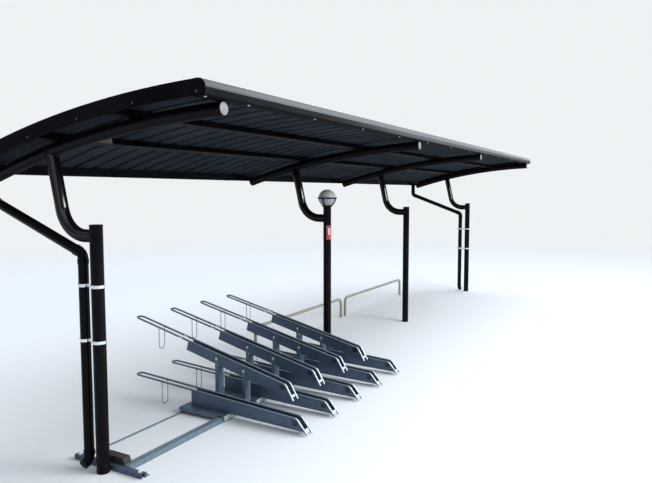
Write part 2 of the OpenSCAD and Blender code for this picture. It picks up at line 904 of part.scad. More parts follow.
module high_channel(i) {
    back = (high_trough_rear + high_nose_y) / cos(high_slope);
    edge = trough_edge(high_slope, -high_nose_y, high_nose_z, back, nose_l - trough_end);
    tip = edge[len(edge) - 1];
    floor_y = tip[0] + high_corner;
    floor_z = high_rod(floor_y) - trough_front_h;
    foot = placed([back, -trough_drop - trough_rear_h], high_slope, -high_nose_y, high_nose_z);
    floor_rise = (foot[1] - floor_z) / (foot[0] - floor_y);
    lip_end = foot + trough_lip * [1, floor_rise];
    lip_top = lip_end + [0, trough_t];
    front = tip[0] - open_front;
    rear = lip_end[0] + open_rear;
    rear_z = lip_top[1] + open_rear * floor_rise;
    above = 2 * high_nose_z + high_trough_rear;
    outline = concat(edge, [[floor_y, floor_z], lip_end, lip_top, foot + [0, trough_t]]);
    inner = [[front, floor_z + trough_t], [floor_y, floor_z + trough_t],
        [rear, rear_z], [rear, above], [front, above]];
    length = (high_rear + high_nose_y - rod_gap / 2) / cos(high_slope);
    color(zinc)
        translate([high_x(i), 0, 0]) {
            translate([0, -high_nose_y, high_nose_z])
                rotate([high_slope, 0, 0])
                    rods(length);
            translate([0, high_loop_y, high_rod(high_loop_y)])
                wire_loop();
            trough(outline, inner);
        }
}

// Roller with its axle, from a hanger at y0 forward to the roller's front face
module roller(x, y, z, reach) {
    translate([x, y, z])
        rotate([-90, 0, 0]) {
            cylinder(d = roller_d, h = roller_w);
            cylinder(d = axle_d, h = reach, $fn = wire_fn);
        }
}

// Plate under the carriage that holds a roller's axle
module hanger(x, y, z) {
    translate([x - hanger_w / 2, y, z - axle_d])
        cube([hanger_w, hanger_t, carriage_z - carriage_t - z + axle_d]);
}

module carriage_plate() {
    w = carriage_left + carriage_right;
    depth = carriage_y1 - carriage_y0;
    r = carriage_corner;
    h = carriage_skirt;
    inner = [w - 2 * carriage_t, depth - 2 * carriage_t, h];
    difference() {
        translate([0, (carriage_y0 + carriage_y1) / 2, carriage_z - h])
            linear_extrude(h)
                rounded_bar(w, depth, r);
        translate([-inner[0] / 2, carriage_y0 + carriage_t, carriage_z - h - carriage_t])
            cube(inner);
        translate([-w, carriage_y0 + carriage_t, 0])
            cube([2 * w, rail_w + 2 * rail_gap, rail_h + rail_gap]);
        translate([-w, rear_rail_y - rear_rail_w, 0])
            cube([2 * w, 2 * rear_rail_w, rear_rail_h + rail_gap]);
    }
}

module carriage() {
    hanger_y = rail_y1 + front_hanger_gap;
    rear_hanger_y = rear_rail_y - roller_w / 2 - rear_hanger_gap - hanger_t;
    translate([(carriage_right - carriage_left) / 2, 0, 0])
        carriage_plate();
    for (x = roller_x) {
        roller(x, front_roller_y, front_roller_z, hanger_y - front_roller_y + cut);
        hanger(x, hanger_y, front_roller_z);
        translate([x, rear_rail_y + roller_w / 2, rear_roller_z])
            rotate([0, 0, 180])
                roller(0, 0, 0, rear_rail_y + roller_w / 2 - rear_hanger_y - cut);
        hanger(x, rear_hanger_y, rear_roller_z);
    }
}

module low_carriage(i) {
    color(zinc)
        translate([low_x(i), 0, 0])
            carriage();
}

// Leg folded from one plate: the face stops under the trough, the flanges hold its sides
module leg(y) {
    floor_slope = (high_rod(high_trough_rear) - trough_rear_h - high_rod(-high_nose_y) + trough_front_h)
        / (high_trough_rear + high_nose_y);
    floor_here = high_rod(-high_nose_y) - trough_front_h + (y + high_nose_y) * floor_slope;
    w = trough_w + 2 * leg_t;
    h = high_rod(y) - leg_top - carriage_z;
    face_h = floor_here - carriage_z - leg_face_gap;
    translate([-w / 2, y - leg_depth / 2, carriage_z])
        difference() {
            cube([w, leg_depth, h]);
            translate([leg_t, leg_t, -cut])
                cube([trough_w, leg_depth, h + 2 * cut]);
            translate([leg_t, -cut, face_h])
                cube([trough_w, leg_depth, h]);
        }
}

module high_carriage(i) {
    color(zinc)
        translate([high_x(i), 0, 0]) {
            carriage();
            for (y = leg_y)
                leg(y);
        }
}

module wheel_stop(x0) {
    r = stop_d / 2;
    top = stop_h - r;
    left = x0 + r;
    right = x0 + stop_l - r;
    for (x = [left, right])
        translate([x, stop_y, 0])
            cylinder(d = stop_d, h = top - stop_bend_r);
    translate([left + stop_bend_r, stop_y, top])
        rotate([0, 90, 0])
            cylinder(d = stop_d, h = right - left - 2 * stop_bend_r);
    for (end = [[left + stop_bend_r, 90], [right - stop_bend_r, 0]])
        translate([end[0], stop_y, top - stop_bend_r])
            rotate([90, 0, 0])
                rotate([0, 0, end[1]])
                    rotate_extrude(angle = 90)
                        translate([stop_bend_r, 0])
                            circle(d = stop_d);
}

module wheel_stops() {
    color("#cfc8b4") {
        wheel_stop(stop_x0);
        wheel_stop(stop_x0 + stop_l + stop_gap);
    }
}

post(0);  // post_1
post(1);  // post_2
post(2);  // post_3
post(3);  // post_4
post_caps();
arms();
rafters();
rafter_caps();
purlins();
roof_sheet(0, near_ribs - 1, sheet_x0, pan_x(near_ribs) - seat);  // near_roof_sheet
roof_sheet(near_ribs, far_ribs - 1, pan_x(near_ribs), pan_x(far_ribs));  // middle_roof_sheet
roof_sheet(far_ribs, rib_count - 1, pan_x(far_ribs) + seat, sheet_x1);  // far_roof_sheet
front_fascia();
end_fascias();
rear_gutter();
downpipes();
pipe_bands();
lamp_base();
lamp_globe();
lamp_hood();
lamp_guard();
sign_plate();
label_plate();
floor_rails();
rail_end_bars();
end_stop();
wheel_stops();
for (i = [1:low_count])
    low_channel(i);
for (i = [1:low_count - 1])
    high_channel(i);
for (i = [1:low_count])
    low_carriage(i);
for (i = [1:low_count - 1])
    high_carriage(i);
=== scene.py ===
"""Finishes and small parts of a cantilever cycle shelter with a two-level sliding wheel rack.

All sizes are metres in the frame's own axes: X runs along the row of posts, Y from the
open front to the rear, Z up, and the origin is the centre of the first post's foot.
"""
import logging
import math
from collections.abc import Iterable, Sequence
from dataclasses import dataclass, replace
from enum import Enum

import bmesh
import bpy
from mathutils import Matrix, Vector


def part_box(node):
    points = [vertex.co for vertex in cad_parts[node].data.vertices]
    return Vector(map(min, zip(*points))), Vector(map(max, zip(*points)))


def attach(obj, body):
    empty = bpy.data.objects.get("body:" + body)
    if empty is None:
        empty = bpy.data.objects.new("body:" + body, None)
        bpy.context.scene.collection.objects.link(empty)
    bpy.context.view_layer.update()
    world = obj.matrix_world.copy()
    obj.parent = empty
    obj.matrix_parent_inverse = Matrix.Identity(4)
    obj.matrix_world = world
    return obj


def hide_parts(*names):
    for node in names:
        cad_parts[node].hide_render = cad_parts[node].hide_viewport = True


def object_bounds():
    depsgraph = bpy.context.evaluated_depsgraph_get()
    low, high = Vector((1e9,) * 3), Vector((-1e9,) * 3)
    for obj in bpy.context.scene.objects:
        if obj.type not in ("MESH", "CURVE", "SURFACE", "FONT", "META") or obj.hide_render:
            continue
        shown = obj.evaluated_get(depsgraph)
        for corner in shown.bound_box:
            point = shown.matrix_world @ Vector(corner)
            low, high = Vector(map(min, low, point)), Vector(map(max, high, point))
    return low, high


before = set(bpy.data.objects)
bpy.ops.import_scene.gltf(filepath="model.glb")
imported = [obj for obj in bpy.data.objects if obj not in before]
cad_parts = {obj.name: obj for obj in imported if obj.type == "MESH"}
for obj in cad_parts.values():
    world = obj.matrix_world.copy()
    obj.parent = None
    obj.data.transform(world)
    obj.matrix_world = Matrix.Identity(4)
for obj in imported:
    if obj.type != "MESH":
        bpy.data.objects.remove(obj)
cad_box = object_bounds()

LOG = logging.getLogger("cycle_shelter")
ROOT_BODY = "shelter"
SEAT = 0.0003  # the gap at which the CAD's pieces seat
MERGE = 1e-6  # points this close become one
Colour = tuple[float, float, float]
Point = tuple[float, float]
Socket = bpy.types.NodeSocket


class Slot(Enum):
    """The record's material slots."""

    DARK_PAINT = "dark_paint"
    ROOF_PAINT = "roof_paint"
    STAINLESS = "stainless"
    GALVANISED = "galvanised"
    PLUG_PLASTIC = "plug_plastic"
    GLOBE_PLASTIC = "globe_plastic"
    HOOD_PLASTIC = "hood_plastic"
    RED_PLATE = "red_plate"
    BEIGE_PLATE = "beige_plate"
    STOP_RUBBER = "stop_rubber"
    BEIGE_PAINT = "beige_paint"


class Facing(Enum):
    """Directions in which a fastener's head can point."""

    LEFT = (-1, 0, 0)
    RIGHT = (1, 0, 0)
    FRONT = (0, -1, 0)
    REAR = (0, 1, 0)
    UP = (0, 0, 1)
    DOWN = (0, 0, -1)

    def turn(self) -> Matrix:
        """Returns the rotation that brings local Z to this direction."""
        return Vector(self.value).to_track_quat("Z", "Y").to_matrix().to_4x4()


def shift(x: float, y: float, z: float) -> Matrix:
    """Returns a plain shift."""
    return Matrix.Translation((x, y, z))


def turned_by(degrees: float, axis: str) -> Matrix:
    """Returns a turn round one of the axes."""
    return Matrix.Rotation(math.radians(degrees), 4, axis)


def at(x: float, y: float, z: float, facing: Facing = Facing.UP) -> Matrix:
    """Returns the place of a part whose local Z faces that way at a point."""
    return shift(x, y, z) @ facing.turn()


def full_turn(steps: int) -> list[float]:
    """Returns that many equal angles round a circle."""
    return [math.tau * i / steps for i in range(steps)]


# Shader graphs


class Graph:
    """Adds nodes to one shader tree and joins them."""

    def __init__(self, tree: bpy.types.NodeTree) -> None:
        """Keeps the tree and empties it.

        Args:
            tree: The material's or the group's node tree.
        """
        self.tree = tree
        tree.nodes.clear()

    def add(self, kind: str, inputs: dict | None = None, **settings: object) -> bpy.types.Node:
        """Adds one node.

        Args:
            kind: Blender's name of the node's class.
            inputs: Values or sockets for the node's inputs, by name or number.
            **settings: The node's own properties.

        Returns:
            The new node.
        """
        node = self.tree.nodes.new(kind)
        for name, value in settings.items():
            setattr(node, name, value)
        for name, value in (inputs or {}).items():
            if isinstance(value, bpy.types.NodeSocket):
                self.tree.links.new(value, node.inputs[name])
            else:
                node.inputs[name].default_value = value
        return node

    def noise(self, vector: Socket, scale: object, detail: float = 4.0,
              rough: float = 0.55) -> Socket:
        """Returns the value of a noise texture of that scale."""
        inputs = {"Vector": vector, "Scale": scale, "Detail": detail, "Roughness": rough}
        return self.add("ShaderNodeTexNoise", inputs).outputs["Fac"]

    def ramp(self, value: Socket, low: float, high: float, to_low: float = 0.0,
             to_high: float = 1.0) -> Socket:
        """Returns the value mapped smoothly from one range to another, and held at its ends.

        Args:
            value: The value to map.
            low: Where the first range starts.
            high: Where it ends.
            to_low: The result at its start.
            to_high: The result at its end.

        Returns:
            The mapped value.
        """
        inputs = {"Value": value, "From Min": low, "From Max": high, "To Min": to_low,
                  "To Max": to_high}
        node = self.add("ShaderNodeMapRange", inputs, interpolation_type="SMOOTHSTEP")
        return node.outputs["Result"]

    def math(self, operation: str, first: object, second: object, third: object = 0.0) -> Socket:
        """Returns the result of one sum on values or sockets."""
        inputs = {0: first, 1: second, 2: third}
        return self.add("ShaderNodeMath", inputs, operation=operation).outputs["Value"]

    def times(self, first: object, second: object) -> Socket:
        """Returns a product."""
        return self.math("MULTIPLY", first, second)

    def larger(self, first: object, second: object) -> Socket:
        """Returns the larger of two values."""
        return self.math("MAXIMUM", first, second)

    def more(self, value: object, share: float, base: object) -> Socket:
        """Returns a base that is raised by a share of a value."""
        return self.math("MULTIPLY_ADD", value, share, base)

    def vector_math(self, operation: str, *terms: object, output: str = "Vector") -> Socket:
        """Returns the result of one sum on vectors."""
        node = self.add("ShaderNodeVectorMath", dict(enumerate(terms)), operation=operation)
        return node.outputs[output]

    def mix(self, share: object, first: object, second: object) -> Socket:
        """Returns a mix of two colours."""
        inputs = {0: share, 6: opaque(first), 7: opaque(second)}
        return self.add("ShaderNodeMix", inputs, data_type="RGBA").outputs[2]

    def stretched(self, vector: Socket, scale: Sequence[float],
                  turn: Sequence[float] = (0.0, 0.0, 0.0)) -> Socket:
        """Returns coordinates that are scaled and turned, for streaks and grain."""
        inputs = {"Vector": vector, "Scale": scale, "Rotation": turn}
        return self.add("ShaderNodeMapping", inputs).outputs["Vector"]

    def parts(self, vector: Socket) -> bpy.types.NodeOutputs:
        """Returns a vector's X, Y and Z."""
        return self.add("ShaderNodeSeparateXYZ", {0: vector}).outputs

    def normal(self) -> Socket:
        """Returns the direction that the surface faces."""
        return self.add("ShaderNodeNewGeometry").outputs["Normal"]

    def here(self) -> Socket:
        """Returns the object coordinates."""
        return self.add("ShaderNodeTexCoord").outputs["Object"]


def opaque(colour: object) -> object:
    """Returns a colour with its alpha, or a socket as it is."""
    return (*colour, 1.0) if isinstance(colour, tuple) and len(colour) == 3 else colour


class SharedEffect:
    """A shader node group that several finishes place with their own values."""

    name = "effect"
    inputs: dict[str, tuple[str, object]] = {}
    outputs: dict[str, str] = {}

    def group(self) -> bpy.types.NodeTree:
        """Returns the group, built the first time.

        Returns:
            The group's node tree.
        """
        made = bpy.data.node_groups.get(self.name)
        if made is None:
            made = bpy.data.node_groups.new(self.name, "ShaderNodeTree")
            graph = Graph(made)
            for name, (kind, value) in self.inputs.items():
                socket = made.interface.new_socket(name, in_out="INPUT", socket_type=kind)
                socket.default_value = value
            for name, kind in self.outputs.items():
                made.interface.new_socket(name, in_out="OUTPUT", socket_type=kind)
            given = graph.add("NodeGroupInput").outputs
            graph.add("NodeGroupOutput", self.build(graph, given))
        return made

    def build(self, graph: Graph, given: bpy.types.NodeOutputs) -> dict[str, Socket]:
        """Fills the group.

        Args:
            graph: The group's graph.
            given: The group's inputs as sockets.

        Returns:
            A socket for each output, by name.
        """
        raise NotImplementedError

    def place(self, graph: Graph, **values: object) -> bpy.types.NodeOutputs:
        """Adds the group to a material.

        Args:
            graph: The material's graph.
            **values: The group's inputs, with an underscore for a space.

        Returns:
            The outputs of the placed group.
        """
        node = graph.add("ShaderNodeGroup", node_tree=self.group())
        for name, value in values.items():
            node.inputs[name.replace("_", " ")].default_value = opaque(value)
        return node.outputs


class Weather(SharedEffect):
    """Rain streaks, settled dust and splashed dirt near the ground."""

    name = "weather_marks"
    inputs = {"Streak Scale": ("NodeSocketFloat", 9.0), "Splash Height": ("NodeSocketFloat", 0.25)}
    outputs = {"Streaks": "NodeSocketFloat", "Dust": "NodeSocketFloat", "Splash": "NodeSocketFloat",
               "Down": "NodeSocketFloat"}

    def build(self, graph: Graph, given: bpy.types.NodeOutputs) -> dict[str, Socket]:
        """Fills the group from object coordinates and the surface's own slope.

        Args:
            graph: The group's graph.
            given: The group's inputs as sockets.

        Returns:
            A socket for each output, by name.
        """
        here = graph.here()
        tall = graph.stretched(here, (1.0, 1.0, 0.06))
        streaks = graph.ramp(graph.noise(tall, given["Streak Scale"], 5.0, 0.6), 0.5, 0.72)
        up = graph.parts(graph.normal())["Z"]
        blotch = graph.ramp(graph.noise(here, 7.0, 6.0), 0.35, 0.7)
        dust = graph.times(graph.ramp(up, 0.2, 0.95), blotch)
        reach = graph.math("DIVIDE", graph.parts(here)["Z"], given["Splash Height"])
        near = graph.ramp(reach, 0.0, 1.0, 1.0, 0.0)
        spots = graph.ramp(graph.noise(here, 38.0, 5.0), 0.42, 0.68)
        return {"Streaks": streaks, "Dust": dust, "Splash": graph.times(near, spots),
                "Down": graph.times(up, -1.0)}


class Spangle(SharedEffect):
    """Crystals of a hot dip zinc coat."""

    name = "zinc_spangle"
    inputs = {"Crystals": ("NodeSocketFloat", 70.0), "Dark": ("NodeSocketColor", (0, 0, 0, 1)),
              "Light": ("NodeSocketColor", (1, 1, 1, 1))}
    outputs = {"Color": "NodeSocketColor", "Grain": "NodeSocketFloat", "Height": "NodeSocketFloat"}

    def build(self, graph: Graph, given: bpy.types.NodeOutputs) -> dict[str, Socket]:
        """Fills the group with crystals of a bent outline under a slow cloud.

        Args:
            graph: The group's graph.
            given: The group's inputs as sockets.

        Returns:
            A socket for each output, by name.
        """
        here = graph.here()
        bent = graph.noise(here, 60.0, 2.0)
        moved = graph.vector_math("MULTIPLY_ADD", here, bent, (0.006, 0.006, 0.006))
        moved = graph.vector_math("ADD", here, moved)
        cell = graph.add("ShaderNodeTexVoronoi", {"Vector": moved, "Scale": given["Crystals"]})
        tone = graph.add("ShaderNodeSeparateColor", {0: cell.outputs["Color"]}).outputs[0]
        cloud = graph.noise(here, 5.0, 5.0)
        share = graph.more(tone, 0.45, graph.times(cloud, 0.7))
        colour = graph.mix(share, given["Dark"], given["Light"])
        return {"Color": colour, "Grain": tone, "Height": cell.outputs["Distance"]}


class CoatSkin(SharedEffect):
    """The slightly pebbled skin and slow fading of a sprayed or baked coat."""

    name = "coat_skin"
    inputs = {"Base": ("NodeSocketColor", (0, 0, 0, 1)), "Faded": ("NodeSocketColor", (1, 1, 1, 1)),
              "Pebbles": ("NodeSocketFloat", 420.0)}
    outputs = {"Color": "NodeSocketColor", "Fade": "NodeSocketFloat", "Height": "NodeSocketFloat"}

    def build(self, graph: Graph, given: bpy.types.NodeOutputs) -> dict[str, Socket]:
        """Fills the group with a fade cloud, fine specks and pebbles.

        Args:
            graph: The group's graph.
            given: The group's inputs as sockets.

        Returns:
            A socket for each output, by name.
        """
        here = graph.here()
        fade = graph.ramp(graph.noise(here, 3.2, 6.0), 0.3, 0.75)
        speck = graph.ramp(graph.noise(here, 260.0, 2.0), 0.62, 0.78, 0.0, 0.35)
        share = graph.larger(graph.times(fade, 0.8), speck)
        return {"Color": graph.mix(share, given["Base"], given["Faded"]), "Fade": fade,
                "Height": graph.noise(here, given["Pebbles"], 1.0, 0.5)}


class Scratches(SharedEffect):
    """Fine scratches and rubbed places, as a mask."""

    name = "scratches"
    inputs = {"Reach": ("NodeSocketFloat", 30.0)}
    outputs = {"Mask": "NodeSocketFloat"}

    def build(self, graph: Graph, given: bpy.types.NodeOutputs) -> dict[str, Socket]:
        """Fills the group with two sets of stretched noise.

        Args:
            graph: The group's graph.
            given: The group's inputs as sockets.

        Returns:
            A socket for each output, by name.
        """
        here = graph.here()
        marks = []
        for turn, shape in (((0.4, 0.2, 0.9), (1.0, 14.0, 14.0)),
                            ((0.1, 0.8, 0.3), (14.0, 1.0, 14.0))):
            noise = graph.noise(graph.stretched(here, shape, turn), given["Reach"], 3.0, 0.5)
            marks.append(graph.ramp(noise, 0.66, 0.76))
        rubbed = graph.ramp(graph.noise(here, 12.0, 5.0), 0.5, 0.7)
        return {"Mask": graph.times(graph.larger(*marks), rubbed)}


WEATHER = Weather()
SPANGLE = Spangle()
SKIN = CoatSkin()
SCRATCHES = Scratches()


# Finishes


@dataclass(frozen=True)
class Finish:
    """What every finish shares: its name, its slot, its gloss and its relief."""

    name: str
    slot: Slot
    base: Colour
    roughness: float = 0.4
    specular: float = 0.5
    metallic: float = 0.0
    relief: float = 0.1
    relief_depth: float = 0.0004

    def surface(self, graph: Graph) -> dict[str, object]:
        """Returns the inputs of this finish's shader, made in its graph."""
        raise NotImplementedError

    def material(self) -> bpy.types.Material:
        """Returns the finish as a material, made the first time.

        Returns:
            The material.
        """
        made = bpy.data.materials.get(self.name)
        if made is None:
            made = bpy.data.materials.new(self.name)
            made.use_nodes = True
            graph = Graph(made.node_tree)
            settings = {"Specular IOR Level": self.specular, "Metallic": self.metallic,
                        "Roughness": self.roughness, "Base Color": opaque(self.base)}
            shader = graph.add("ShaderNodeBsdfPrincipled", settings | self.surface(graph))
            graph.add("ShaderNodeOutputMaterial", {"Surface": shader.outputs["BSDF"]})
        return made

    def bump(self, graph: Graph, height: Socket) -> Socket:
        """Returns the normal of a surface with this finish's relief."""
        inputs = {"Height": height, "Strength": self.relief, "Distance": self.relief_depth}
        return graph.add("ShaderNodeBump", inputs).outputs["Normal"]


@dataclass(frozen=True)
class WeatheredCoat(Finish):
    """Paint on outdoor steel: pebbled, a little faded, with rain streaks and dust.

    A clear coat lies only on what faces up or aside, and undersides are duller.
    """

    relief: float = 0.12
    relief_depth: float = 0.0006
    faded: Colour = (0.1, 0.1, 0.1)
    dirt: Colour = (0.2, 0.18, 0.16)
    streaks: float = 0.25
    dust: float = 0.4
    splash: float = 0.4
    pebbles: float = 420.0
    coat: float = 0.0
    coat_roughness: float = 0.12
    dull_dirt: float = 0.45
    dull_fade: float = 0.12
    dull_under: float = 0.45

    def surface(self, graph: Graph) -> dict[str, object]:
        """Returns colour, roughness and normal of the weathered coat.

        Args:
            graph: The material's graph.

        Returns:
            The shader's inputs, by name.
        """
        skin = SKIN.place(graph, Base=self.base, Faded=self.faded, Pebbles=self.pebbles)
        marks = WEATHER.place(graph)
        streaks = graph.times(marks["Streaks"], self.streaks)
        dirty = graph.larger(graph.times(marks["Dust"], self.dust),
                             graph.times(marks["Splash"], self.splash))
        under = self.roughness + self.dull_under
        rough = graph.ramp(marks["Down"], 0.3, 0.8, self.roughness, under)
        rough = graph.more(skin["Fade"], self.dull_fade, rough)
        rough = graph.more(dirty, self.dull_dirt, rough)
        washed = graph.mix(streaks, skin["Color"], self.faded)
        inputs = {"Base Color": graph.mix(dirty, washed, self.dirt), "Roughness": rough,
                  "Normal": self.bump(graph, skin["Height"])}
        if self.coat:
            inputs |= {"Coat Weight": graph.ramp(marks["Down"], -0.05, 0.15, self.coat, 0.0),
                       "Coat Roughness": self.coat_roughness}
        return inputs


@dataclass(frozen=True)
class HotDipZinc(Finish):
    """Galvanised steel with crystals, dull patches and dirt in its low places."""

    relief: float = 0.08
    relief_depth: float = 0.0008
    light: Colour = (0.4, 0.42, 0.44)
    dirt: Colour = (0.12, 0.12, 0.11)
    crystals: float = 70.0
    streaks: float = 0.2
    dust: float = 0.35
    splash: float = 0.5
    scuffs: float = 0.4
    dull_dirt: float = 0.3
    dull_grain: float = 0.14

    def surface(self, graph: Graph) -> dict[str, object]:
        """Returns colour, roughness and normal of the zinc.

        Args:
            graph: The material's graph.

        Returns:
            The shader's inputs, by name.
        """
        zinc = SPANGLE.place(graph, Crystals=self.crystals, Dark=self.base, Light=self.light)
        marks = WEATHER.place(graph, Streak_Scale=14.0, Splash_Height=0.12)
        scuffed = SCRATCHES.place(graph)["Mask"]
        dirty = graph.larger(graph.times(marks["Dust"], self.dust),
                             graph.times(marks["Splash"], self.splash))
        streaks = graph.times(marks["Streaks"], self.streaks)
        colour = graph.mix(streaks, zinc["Color"], self.dirt)
        colour = graph.mix(graph.times(scuffed, self.scuffs), colour, self.light)
        colour = graph.mix(dirty, self.rubbed(graph, colour), self.dirt)
        rough = graph.more(dirty, self.dull_dirt, self.roughness)
        rough = graph.more(zinc["Grain"], self.dull_grain, rough)
        return {"Base Color": colour, "Roughness": rough,
                "Normal": self.bump(graph, zinc["Height"])}

    def rubbed(self, graph: Graph, colour: Socket) -> Socket:
        """Returns the colour with its rubbed places and painted highlights, of which plain zinc has
        none.
        """
        return colour


@dataclass(frozen=True)
class ChannelZinc(HotDipZinc):
    """The zinc of a wheel channel, with rubbed, lighter nose edges and a painted highlight along
    the rods' tops.
    """

    # Colour of the rubbed nose edges, and of the painted highlight on the rods' tops.
    highlight_and_polish: Colour = (0.52, 0.60, 0.63)
    nose_from: float = -0.70
    middle_x: float = 1.06045
    spacing: float = 0.1
    rod_from: float = 0.020
    rod_highlight_share: float = 0.42

    def rubbed(self, graph: Graph, colour: Socket) -> Socket:
        """Returns the colour, lighter on the rods' tops as a painted highlight and lightest on the
        nose's edges as rubbed wear.

        Args:
            graph: The material's graph.
            colour: The colour of the plain zinc.

        Returns:
            The colour with its rubbed places and painted highlights.
        """
        place = graph.parts(graph.here())
        ahead = graph.ramp(place["Y"], self.nose_from - 0.012, self.nose_from + 0.004, 1.0, 0.0)
        aside = graph.math("SUBTRACT", place["X"], self.middle_x)
        aside = graph.math("PINGPONG", aside, self.spacing)
        # Lighter where the surface faces up and to the front: on the rods' tops this is a painted
        # highlight, and at the nose it is rubbed wear.
        rods = graph.ramp(aside, self.rod_from, self.rod_from + 0.005)
        facing = graph.vector_math("DOT_PRODUCT", graph.normal(), (0.0, -0.7, 0.7), output="Value")
        share = graph.times(graph.larger(ahead, graph.times(rods, self.rod_highlight_share)),
                            graph.ramp(facing, 0.1, 0.6))
        return graph.mix(share, colour, self.highlight_and_polish)


@dataclass(frozen=True)
class BrushedSteel(Finish):
    """Bright stainless strip or plated screws, with a brushed grain."""

    relief: float = 0.06
    stained: Colour = (0.3, 0.28, 0.25)

    def surface(self, graph: Graph) -> dict[str, object]:
        """Returns colour, roughness and normal of the brushed steel.

        Args:
            graph: The material's graph.

        Returns:
            The shader's inputs, by name.
        """
        here = graph.here()
        grain = graph.noise(graph.stretched(here, (1.0, 1.0, 30.0)), 40.0, 3.0)
        stain = graph.ramp(graph.noise(here, 25.0, 5.0), 0.45, 0.75, 0.0, 0.35)
        rough = graph.ramp(grain, 0.2, 0.8, self.roughness - 0.06, self.roughness + 0.12)
        return {"Base Color": graph.mix(stain, self.base, self.stained), "Roughness": rough,
                "Normal": self.bump(graph, grain)}


@dataclass(frozen=True)
class Moulded(Finish):
    """Moulded plastic or rubber, with fine grain and a film of dirt."""

    stained: Colour = (0.5, 0.5, 0.48)
    grain: float = 500.0
    stain: float = 0.3
    dull_fade: float = 0.15
    glow: float = 0.0
    glow_reach: Colour = (0.03, 0.03, 0.028)

    def surface(self, graph: Graph) -> dict[str, object]:
        """Returns colour, roughness and normal of the moulded part.

        Args:
            graph: The material's graph.

        Returns:
            The shader's inputs, by name.
        """
        skin = SKIN.place(graph, Base=self.base, Faded=self.stained, Pebbles=self.grain)
        marks = WEATHER.place(graph, Streak_Scale=24.0)
        dirty = graph.larger(graph.times(marks["Dust"], self.stain),
                             graph.times(marks["Streaks"], 0.5 * self.stain))
        rough = graph.more(skin["Fade"], self.dull_fade, self.roughness)
        return {"Base Color": graph.mix(dirty, skin["Color"], self.stained), "Roughness": rough,
                "Normal": self.bump(graph, skin["Height"]),
                "Subsurface Weight": self.glow, "Subsurface Radius": self.glow_reach,
                "Subsurface Scale": 1.0}


DARK = WeatheredCoat(
    "dark_bronze_coat", Slot.DARK_PAINT, (0.0024, 0.0022, 0.0034), roughness=0.2, specular=0.07,
    faded=(0.0055, 0.0050, 0.0064), dirt=(0.05, 0.046, 0.045), streaks=0.3, dust=0.1, splash=0.15)
ARM = replace(DARK, name="dark_bronze_arm_coat", coat=1.0)
FASCIA = WeatheredCoat(
    "bronze_nose_coat", Slot.DARK_PAINT, (0.0025, 0.0022, 0.0031), roughness=0.3, specular=0.04,
    faded=(0.005, 0.0044, 0.0056), dirt=(0.06, 0.057, 0.06), streaks=0.15, dust=0.06, relief=0.01,
    coat=0.75)
SHEET = WeatheredCoat(
    "blue_grey_sheet_coat", Slot.ROOF_PAINT, (0.0125, 0.0160, 0.0220), roughness=0.5,
    specular=0.05, faded=(0.028, 0.033, 0.041), dirt=(0.10, 0.095, 0.09), streaks=0.35, dust=0.4)
ZINC = HotDipZinc(
    "hot_dip_zinc", Slot.GALVANISED, (0.056, 0.090, 0.138), roughness=0.42, metallic=0.5,
    light=(0.108, 0.155, 0.218), dirt=(0.045, 0.055, 0.062))
ZINC_CARRIAGE = replace(
    ZINC, name="hot_dip_zinc_carriage", base=(0.092, 0.142, 0.195), light=(0.155, 0.22, 0.285))
ZINC_LOW = ChannelZinc(
    "hot_dip_zinc_low", Slot.GALVANISED, ZINC.base, roughness=ZINC.roughness,
    metallic=ZINC.metallic, light=ZINC.light, dirt=ZINC.dirt)
ZINC_HIGH = replace(ZINC_LOW, name="hot_dip_zinc_high", nose_from=-0.48)
ZINC_FLOOR = HotDipZinc(
    "hot_dip_zinc_rail", Slot.GALVANISED, (0.13, 0.185, 0.225), roughness=0.36, metallic=0.3,
    light=(0.18, 0.245, 0.295), dirt=(0.085, 0.11, 0.13), crystals=110.0)
# A much lighter copy of the zinc, laid over the carriages' front faces only: painted light on the
# side that faces the open front.
ZINC_LIT_FRONT = HotDipZinc(
    "painted_light_zinc_lip", Slot.GALVANISED, (0.50, 0.58, 0.61), roughness=0.36, metallic=0.15,
    light=(0.64, 0.72, 0.74), dirt=(0.24, 0.26, 0.26), crystals=110.0)
BRIGHT = BrushedSteel(
    "bright_steel", Slot.STAINLESS, (0.80, 0.81, 0.81), roughness=0.2, metallic=1.0)
SCREW = BrushedSteel(
    "plated_screw", Slot.STAINLESS, (0.76, 0.77, 0.78), roughness=0.28, metallic=0.3)
# The same plated screw made darker and duller for the row that faces down: painted shade.
SHADED_SCREW = BrushedSteel(
    "shaded_lower_screw", Slot.STAINLESS, (0.40, 0.40, 0.42), roughness=0.4, metallic=0.3)
DARK_SCREW = WeatheredCoat(
    "dark_screw", Slot.DARK_PAINT, (0.02, 0.018, 0.02), roughness=0.3, faded=(0.03, 0.028, 0.03))
PLUG = Moulded(
    "rafter_plug", Slot.PLUG_PLASTIC, (0.22, 0.22, 0.214), roughness=0.42,
    stained=(0.155, 0.153, 0.148))
GLOBE = Moulded(
    "opal_globe", Slot.GLOBE_PLASTIC, (0.37, 0.378, 0.40), roughness=0.22,
    stained=(0.28, 0.285, 0.30), stain=0.25, glow=0.25)
HOOD = Moulded(
    "white_hood", Slot.HOOD_PLASTIC, (0.47, 0.47, 0.475), roughness=0.34,
    stained=(0.36, 0.357, 0.35))
RED = WeatheredCoat(
    "red_enamel", Slot.RED_PLATE, (0.40, 0.015, 0.03), roughness=0.3, faded=(0.48, 0.05, 0.07),
    dirt=(0.3, 0.2, 0.2), dust=0.2, streaks=0.15)
WHITE = WeatheredCoat(
    "white_enamel", Slot.RED_PLATE, (0.56, 0.50, 0.52), roughness=0.32, faded=(0.46, 0.38, 0.40),
    dirt=(0.4, 0.35, 0.33), dust=0.2, streaks=0.3)
